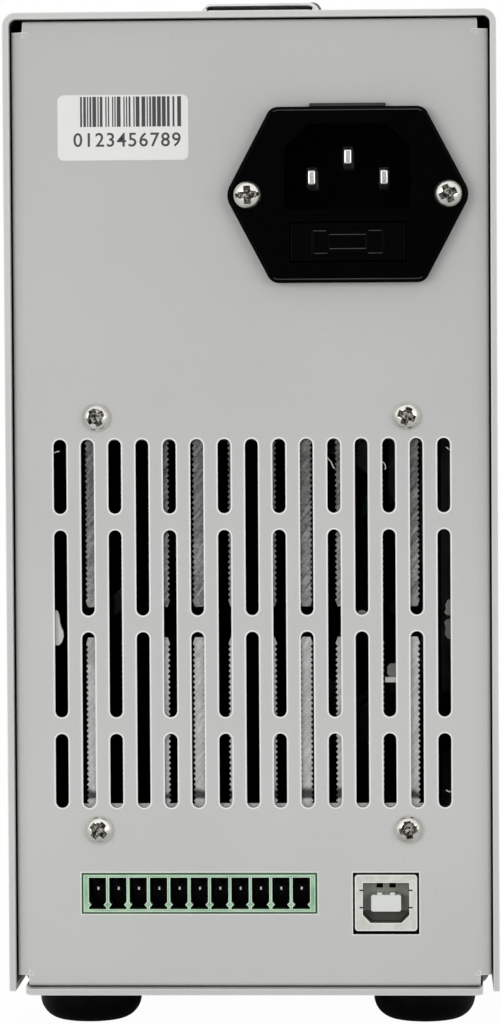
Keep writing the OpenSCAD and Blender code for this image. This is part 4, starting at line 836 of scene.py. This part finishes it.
def pan_screw(name, seat, turn, slotted, worn_r):
    """A screw whose head's underside is at seat, and which points out along +Y."""
    face = looking(seat, *BEHIND) @ Matrix.Rotation(turn, 4, "Z")
    dome = [(HEAD_R * r, HEAD_H * (0.3 + 0.69 * (1 - r ** 4)))
            for r in (1, 0.96, 0.9, 0.82, 0.72, 0.6, 0.45, 0.3, 0.15)]
    bm = bmesh.new()
    turned_profile(bm, [(0, -SHANK_L), (SHANK_R, -SHANK_L), (SHANK_R, 0), (HEAD_R * 0.97, 0), (HEAD_R, 0.15 * MM)]
                   + dome + [(0, HEAD_H * 0.99)], face)
    made = as_object(name, bm, "screw_nickel", smooth=True)
    for arm in (0, math.pi / 2):
        bm = bmesh.new()
        tapered_blade(bm, 4.6 * MM, 1.5 * MM, 0.35 * MM, 2.6 * MM, face @ Matrix.Rotation(arm, 4, "Z"))
        cut_away(made, as_object(name + ".punch", bm, "recess_shade_and_wear"))
    if worn_r:
        bm = bmesh.new()
        dip = [(0, 0.62), (worn_r * 0.7, 0.7), (worn_r, 1.1), (0, 1.1)]
        off_centre = face @ Matrix.Translation((0.1 * MM, 0.25 * MM, 0))
        turned_profile(bm, [(r, h * HEAD_H) for r, h in dip], off_centre, 9)
        cut_away(made, as_object(name + ".wear", bm, "recess_shade_and_wear"))
    if slotted:
        bm = bmesh.new()
        add_slab(bm, box_outline(-3 * MM, -0.4 * MM, 3 * MM, 0.4 * MM), 2 * MM,
                 face @ Matrix.Translation((0, 0, 1.05 * MM)))
        cut_away(made, as_object(name + ".saw", bm, "recess_shade_and_wear"))
    for polygon in made.data.polygons:
        polygon.use_smooth = True
    made.data.set_sharp_from_angle(angle=math.radians(35))
    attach(made, "chassis")
    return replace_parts(made, "rear_screws")


SCREWS = [
    ("vent_screw_1", (30.0, PANEL_Y / MM, 119.0), 0.5, False, 1.75 * MM),
    ("vent_screw_2", (-30.0, PANEL_Y / MM, 119.0), -0.35, False, 1.3 * MM),
    ("vent_screw_3", (30.0, PANEL_Y / MM, 39.0), 0.9, False, 1.5 * MM),
    ("vent_screw_4", (-30.0, PANEL_Y / MM, 39.0), 0.15, False, 1.7 * MM),
    ("inlet_screw_1", (0.35, INLET_Y / MM, 161.6), 0.05, True, 0),
    ("inlet_screw_2", (-38.15, INLET_Y / MM, 161.6), 0.4, False, 1.2 * MM),
]
for name, at, turn, slotted, worn_r in SCREWS:
    pan_screw(name, Vector(at) * MM, turn, slotted, worn_r)
print("made", len(SCREWS), "screws")

# %% [markdown]
# ## Clips and threads behind the vent
#
# Through the slots the picture shows a few pale bits: a nylon clip at each side, a spacer between two fins, a
# dab of glue and the ends of lacing thread. They are too small and too soft for CAD. Flat outlines, seen from
# behind, are extruded to just behind the panel.

# %% Clips and threads
INNER_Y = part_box("heatsinks")[1].y


def behind_panel(name, x, z, outline, depth, finish, back=0.0):
    """Extrudes an outline, given in mm from a place as seen from behind, up to the panel's inner face."""
    at = looking(Vector((x * MM, INNER_Y - (depth + back) * MM, z * MM)), *BEHIND)
    ride_slabs(name, finish, "chassis", [([(u * MM, v * MM) for u, v in outline], depth * MM, at)])


def thread_outline(points, width):
    """The outline of a thin thread that runs along points."""
    sides = []
    for i, (u, v) in enumerate(points):
        (u0, v0), (u1, v1) = points[max(i - 1, 0)], points[min(i + 1, len(points) - 1)]
        along = Vector((u1 - u0, v1 - v0)).normalized() * width / 2
        sides.append(((u - along.y, v + along.x), (u + along.y, v - along.x)))
    return [s[1] for s in sides] + [s[0] for s in sides[::-1]]


LEFT_CLIP = [(-3, -3.2), (-0.6, -3.2), (0, -2.6), (0.35, -1.6), (0.3, -0.5), (-0.1, 0.3), (-0.35, 1.2),
             (-0.45, 2.4), (-0.7, 3.3), (-1.1, 3.6), (-3, 3.6)]
RIGHT_CLIP_LOW = [(0.6, -2.6), (3, -2.6), (3, 1.3), (0.5, 1.2), (0, 0.6), (0.3, -0.6), (0.1, -1.6)]
RIGHT_CLIP_HIGH = [(0.5, 2), (3, 1.8), (3, 5), (0.7, 5), (0.2, 4), (0.35, 3.2), (0, 2.5)]
behind_panel("clip_left", 37.1, 78, LEFT_CLIP, 1.4, "nylon_white")
behind_panel("clip_right_low", -37.1, 78.4, RIGHT_CLIP_LOW, 1.4, "nylon_grey", 0.6)
behind_panel("clip_right_high", -37.1, 78.4, RIGHT_CLIP_HIGH, 1.4, "nylon_grey")
behind_panel("spacer_bar", -27.7, 67.9, box_outline(-2.1, -0.5, 2.1, 0.5), 2, "nylon_white", 0.4)
behind_panel("spacer_hump", -27.7, 69.7, round_outline(3.4, 2.6, 0.9), 2, "nylon_grey", 1)
behind_panel("glue_dab", -21.2, 80.5, round_outline(1.9, 1.8, 0.8), 0.6, "nylon_grey")
THREADS = [
    ("thread_1", -15.9, 110.0, [(-1.6, 1.5), (-1.0, 0.7), (-0.5, 0.1), (-0.2, -0.7), (0.1, -1.1)]),
    ("thread_2", -26.5, 109.6, [(-1.7, 0.9), (-0.9, 0.3), (-0.6, -0.3), (-0.7, -1.0)]),
    ("thread_3", 37.1, 112.3, [(-1.6, -0.3), (-0.7, 0.1), (-0.2, 0.15)]),
    ("thread_4", -37.1, 112.6, [(1.7, -0.3), (0.9, 0.0), (0.5, 0.3)]),
    ("thread_5", -37.1, 46.3, [(1.7, 0.1), (0.8, -0.2), (0.2, 0.2)]),
]
for name, x, z, points in THREADS:
    behind_panel(name, x, z, thread_outline(points, 0.22), 0.22, "nylon_white", 0.1)
print("6 pale bits and", len(THREADS), "threads behind the slots")

# %% [markdown]
# ## Small lines on the sockets
#
# The bent tin of the USB shell leaves four short seams at the sides of its mouth. A grey insert holds the
# tongue, and two contacts lie on it; two black patches on the insert stand for pockets as painted shade, and a
# darker sill low in the mouth is painted shade too. The finger grip of the fuse drawer and the inlet's top tab
# carry thin grey lines of painted highlight along their edges. All are thin strips on the surface, and those
# on the drawer ride with it. The pins of the green header get pointed tips, and a skirt of the same plastic in
# a darker green, as painted shade, fills the gap round it.

# %% Seams and worn edges
low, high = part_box("usb_shell")
mouth_face = looking(Vector(((low.x + high.x) / 2, USB_FACE, (low.z + high.z) / 2)), *BEHIND)
SEAM_X, SEAM_UPS, SEAM_T = 4.74 * MM, (2.45 * MM, -0.92 * MM), 0.06 * MM
ride_slabs("shell_seams", "print_black", "chassis",
           [(box_outline(-0.4 * MM, -0.13 * MM, 0.4 * MM, 0.13 * MM), SEAM_T,
             mouth_face @ Matrix.Translation((side * SEAM_X, up, 0))) for side in (-1, 1) for up in SEAM_UPS])

HALF_W, HALF_H, MOUTH_CUT, MOUTH_D, INSERT_D = 4.48 * MM, 3.88 * MM, 1.7 * MM, 8.9 * MM, 4.4 * MM
sill = [(-HALF_W, MOUTH_CUT - HALF_H), (MOUTH_CUT - HALF_W, -HALF_H), (HALF_W - MOUTH_CUT, -HALF_H),
        (HALF_W, MOUTH_CUT - HALF_H)]
# The sill is a darker slab low in the mouth: painted shade.
for name, finish, top, back, depth in (
        ("usb_insert", "insert_grey", HALF_H, MOUTH_D, MOUTH_D - INSERT_D),
        ("usb_sill", "insert_low", 1.9 * MM - HALF_H, INSERT_D, 0.1 * MM)):
    outline = [(-HALF_W, top)] + sill + [(HALF_W, top)]
    ride_slabs(name, finish, "chassis", [(outline, depth, mouth_face @ Matrix.Translation((0, 0, -back)))])
CONTACT_X = 1.25 * MM
# Two black patches on the insert stand for pockets: painted shade.
ride_slabs("pocket_shade_patches", "inlet_plastic", "chassis",
           [(box_outline(-0.62 * MM, -0.55 * MM, 0.62 * MM, 0.55 * MM), 0.03 * MM,
             mouth_face @ Matrix.Translation((side * CONTACT_X, 3 * MM, -INSERT_D))) for side in (-1, 1)])

low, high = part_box("usb_tongue")
ride_slabs("usb_contacts", "bead_tin", "chassis",
           [(box_outline(-0.45 * MM, 0, 0.45 * MM, 0.4 * MM), high.y - low.y - 0.5 * MM,
             looking(Vector(((low.x + high.x) / 2 + side * CONTACT_X, low.y, high.z)), *BEHIND))
            for side in (-1, 1)])

low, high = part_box("header_pins")
PIN_SIDE, PIN_N = 0.8 * MM, 11
bm = bmesh.new()
for i in range(PIN_N):
    x = low.x + PIN_SIDE / 2 + (high.x - low.x - PIN_SIDE) * i / (PIN_N - 1)
    tip = looking(Vector((x, high.y + 0.4 * MM, low.z + PIN_SIDE / 2)), *FRONT)
    tapered_blade(bm, PIN_SIDE, PIN_SIDE, 0, 0.4 * MM, tip)
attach(as_object("pin_tips", bm, "pin_nickel"), "chassis")

# The skirt's darker green in the gap round the header is painted shade.
low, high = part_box("signal_header")
half_w, half_h, gap = (high.x - low.x) / 2, (high.z - low.z) / 2, 0.38 * MM
skirt_at = looking(Vector(((low.x + high.x) / 2, PANEL_Y - 1.2 * MM, (low.z + high.z) / 2)), *BEHIND)
sides = ((-half_w - gap, half_h, half_w + gap, half_h + gap), (-half_w - gap, -half_h - gap, half_w + gap, -half_h),
         (-half_w - gap, -half_h, -half_w, half_h), (half_w, -half_h, half_w + gap, half_h))
ride_slabs("header_skirt", "skirt_green", "chassis", [(box_outline(*side), 0.9 * MM, skirt_at) for side in sides])

low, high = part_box("fuse_drawer")
DRAWER_AT = Vector(((low.x + high.x) / 2, high.y, (low.z + high.z) / 2))
GRIP_LINES = [(4.0, 6.5, 2.1), (-3.5, 3.5, 1.38), (-6.6, -4.2, 2.1), (-3.5, 3.5, -1.32), (-6.4, -3.9, -2.2),
              (3.9, 6.6, -2.2)]
# Thin grey strips on the drawer's grip: painted highlights.
ride_slabs("drawer_glints", "glint_black", "fuse_drawer",
           [(box_outline(left * MM, (up - 0.07) * MM, right * MM, (up + 0.07) * MM), 0.01 * MM,
             looking(DRAWER_AT, *BEHIND)) for left, right, up in GRIP_LINES])

low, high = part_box("inlet_body")
TAB_HALF, TAB_Y = 7.2 * MM, PANEL_Y + 1.5 * MM
# A grey strip on the inlet's top tab: a painted highlight.
ride_slabs("tab_glint", "glint_black", "chassis",
           [(box_outline(-TAB_HALF, -0.56 * MM, TAB_HALF, -0.04 * MM), 0.02 * MM,
             looking(Vector(((low.x + high.x) / 2, TAB_Y, high.z)), *BEHIND))])
print("4 seams,", PIN_N, "pin tips and", len(GRIP_LINES) + 1, "worn edges")

# %% [markdown]
# ## The strap handle
#
# The carrying strap is a padded vinyl band whose ends slide under two plated caps. Lifted, it bows up and its
# ends stay where they are. One rigid solid can't do that, so the strap is two halves that meet in the middle.
# Here the strap is made as two halves that meet in the middle, each swept along a low bow from the case at
# its end to the middle, with a slot cut near its end. A strip of spring steel runs in the vinyl, and its bare
# end shows in the mouth of the cap between two bent-in lugs.

# %% Strap
STRAP_MIDDLE, STRAP_REACH, STRAP_FLAT = 9.15 * MM, 73 * MM, 51 * MM
STRAP_HALF_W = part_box("handle_strap")[1].x
STRAP_T, STRAP_LOW, STRAP_RISE = 3.2 * MM, 198.2 * MM, 7.58 * MM
BOW_R = (STRAP_RISE ** 2 + STRAP_FLAT ** 2) / (2 * STRAP_RISE)
PIN_AT, PIN_HALF_X, PIN_HALF_Y = 61 * MM, 2.5 * MM, 5.2 * MM


def strap_height(y):
    """Underside of the strap at a distance from its middle."""
    if abs(y) >= STRAP_FLAT:
        return STRAP_LOW
    return STRAP_LOW + math.sqrt(BOW_R ** 2 - y ** 2) - (BOW_R - STRAP_RISE)


def strap_section():
    """Half-round edges with a slightly crowned top: (across, up) points."""
    r = STRAP_T / 2
    points = [(-STRAP_HALF_W + r - r * math.sin(a), r - r * math.cos(a)) for a in
              (math.pi * i / 8 for i in range(9))]
    crown = [(STRAP_HALF_W * x, STRAP_T) for x in (-0.6, -0.3, 0, 0.3, 0.6)]
    return points + crown + [(-x, z) for x, z in points[::-1]]


def strap_half(name, side):
    bm = bmesh.new()
    steps = 44
    rings = []
    for i in range(steps + 1):
        y = side * STRAP_REACH * (1 - i / steps)
        rings.append([bm.verts.new((x, STRAP_MIDDLE + y, strap_height(y) + z)) for x, z in strap_section()])
    for low, high in zip(rings, rings[1:]):
        for i in range(len(low)):
            j = (i + 1) % len(low)
            bm.faces.new((low[i], low[j], high[j], high[i]))
    bm.faces.new(rings[0])
    bm.faces.new(rings[-1])
    made = as_object(name, bm, "strap_vinyl", smooth=True)
    bm = bmesh.new()
    add_slab(bm, box_outline(-PIN_HALF_X, -PIN_HALF_Y, PIN_HALF_X, PIN_HALF_Y), 10 * MM,
             Matrix.Translation((0, STRAP_MIDDLE + side * PIN_AT, STRAP_LOW - 3 * MM)))
    cut_away(made, as_object(name + ".slot", bm, "strap_vinyl"))
    made.data.set_sharp_from_angle(angle=math.radians(50))
    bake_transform(made)
    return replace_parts(made, "handle_strap")


halves = [strap_half("strap_front", -1), strap_half("strap_rear", 1)]
CORE_AT, LUG_X, LUG_HALF = 68.4 * MM, 11.27 * MM, 0.42 * MM
steel = []
for side in (-1, 1):
    core = Matrix.Translation((0, STRAP_MIDDLE + side * CORE_AT, STRAP_LOW + STRAP_T))
    steel.append((box_outline(-10.4 * MM, -4.4 * MM, 10.4 * MM, 4.4 * MM), 0.4 * MM, core))
    for edge in (-1, 1):
        lug = box_outline(edge * LUG_X - LUG_HALF, -4.5 * MM, edge * LUG_X + LUG_HALF, 4.5 * MM)
        steel.append((lug, 3.4 * MM, core @ Matrix.Translation((0, 0, -2.6 * MM))))
ride_slabs("strap_cores", "handle_chrome", "chassis", steel)
print("strap halves with", [len(h.data.vertices) for h in halves], "points, and the ends of the steel core")

# %% [markdown]
# ## Print on the front
#
# The photograph shows only the back, so the front follows such instruments in general: digits on the keys, a
# plus and a minus at the posts, and the two standard marks on the mains switch. They are thin prints that
# ride with the key or the rocker that they are on.

# %% Front print
for name in frame["nodes"]:
    if name.startswith("key_") and name != "key_switches":
        low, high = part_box(name)
        word = {"key_point": ".", "key_load": ""}.get(name, name[-1])
        if word:
            face = looking(Vector(((low.x + high.x) / 2, low.y + 0.36 * MM, (low.z + high.z) / 2)), *FRONT)
            mark = lettering(name + "_digit", word, 4 * MM, face, "print_black", 0.05 * MM)
            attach(mark, name)
ROCKER_PIVOT, ROCKER_REST, ROCKER_SLOPE = Vector((-29.0, -115.85, 41.0)) * MM, math.radians(8), 10.57
for name, word, half in (("rocker_on", "I", 1), ("rocker_off", "O", -1)):
    turn = Matrix.Translation(ROCKER_PIVOT) @ Matrix.Rotation(ROCKER_REST, 4, "X")
    lean = Matrix.Rotation(math.radians(half * ROCKER_SLOPE), 4, "X")
    face = turn @ Matrix.Translation((0, -4.82 * MM, half * 3.75 * MM)) @ lean @ looking(Vector(), *FRONT)
    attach(lettering(name, word, 3 * MM, face, "print_white", 0.05 * MM), "rocker")
FACE_Y = -118.85 * MM
for name, word, x in (("mark_plus", "+", 28.0), ("mark_minus", "-", 0.0)):
    face = looking(Vector((x * MM, FACE_Y, 55 * MM)), *FRONT)
    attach(lettering(name, word, 4 * MM, face, "print_white", 0.05 * MM), "chassis")
print("front print made")

# %% [markdown]
# ## Floor and light
#
# The picture is a cut-out on white, lit softly from all round. A pale floor and a white world give that; both
# turn to plain white for the camera, while the floor keeps a trace of the object's shadow. Two large lamps
# behind the case and one before its front shape the metal.

# %% Studio
bm = bmesh.new()
add_slab(bm, box_outline(-3, -3, 3, 3), 0.01, Matrix.Translation((0, 0, -0.0102)))
place, _, dress = new_finish("studio_floor")
dress(Base_Color=blend_colour(noise(place, 3), (0.8, 0.8, 0.8), (0.84, 0.84, 0.84)), Roughness=0.9)
tree = finishes["studio_floor"].node_tree
surface = tree.nodes["Principled BSDF"]
seen = Wire(tree, tree.nodes.new("ShaderNodeLightPath").outputs["Is Camera Ray"])
white = seen.node("ShaderNodeEmission", {}, {"Color": (1, 1, 1), "Strength": 1.0})
mixed = seen.node("ShaderNodeMixShader", {}, {0: seen * 0.975, 1: Wire(tree, surface.outputs[0]), 2: white})
tree.links.new(mixed.socket, tree.nodes["Material Output"].inputs["Surface"])
floor = as_object("floor", bm, "studio_floor")

world = bpy.data.worlds.new("studio")
scene.world = world
world.use_nodes = True
tree = world.node_tree
path = tree.nodes.new("ShaderNodeLightPath")
seen = Wire(tree, path.outputs["Is Camera Ray"])
for name in ("Is Glossy Ray", "Is Transmission Ray"):
    seen = seen.math("MAXIMUM", seen, Wire(tree, path.outputs[name]))
AMBIENT = 0.55
feed(tree.nodes["Background"].inputs["Color"], (1, 1, 1))
feed(tree.nodes["Background"].inputs["Strength"], AMBIENT + (1 - AMBIENT) * seen)

LAMPS = [
    ("lamp_rear_left", (0.7, 1.25, 0.22), 0.8, 6.0),
    ("lamp_rear_right", (-0.9, 1.15, 0.16), 0.8, 4.5),
    ("lamp_front", (0.5, -1.3, 1.0), 1.2, 8.0),
]
AIM = Vector((0, 0, 0.1))
for name, at, size, power in LAMPS:
    lamp = bpy.data.lights.new(name, "AREA")
    lamp.size, lamp.energy = size, power
    hung = bpy.data.objects.new(name, lamp)
    hung.location = at
    hung.rotation_euler = (AIM - Vector(at)).to_track_quat("-Z", "Y").to_euler()
    scene.collection.objects.link(hung)
print(len(LAMPS), "lamps")

# %% [markdown]
# ## A dark card behind the camera
#
# Polished metal shows what stands before it. In a white room a screw head would vanish, so photographers hang
# a black card by the lens. This one is seen by reflections only.

# %% Dark card
bm = bmesh.new()
CARD_HALF, CARD_AT = 0.28, Vector((-0.03, 1.2, 0.13))
add_slab(bm, box_outline(-CARD_HALF, -CARD_HALF, CARD_HALF, CARD_HALF), 0.004, looking(CARD_AT, *FRONT))
place, _, dress = new_finish("card_black")
dress(Base_Color=blend_colour(noise(place, 30), (0.01, 0.01, 0.01), (0.015, 0.015, 0.015)), Roughness=1.0,
      Specular_IOR_Level=0.0)
card = as_object("dark_card", bm, "card_black")
card.visible_camera = card.visible_diffuse = card.visible_shadow = False
print("card is seen by glossy rays only")

# %% [markdown]
# ## Finish
#
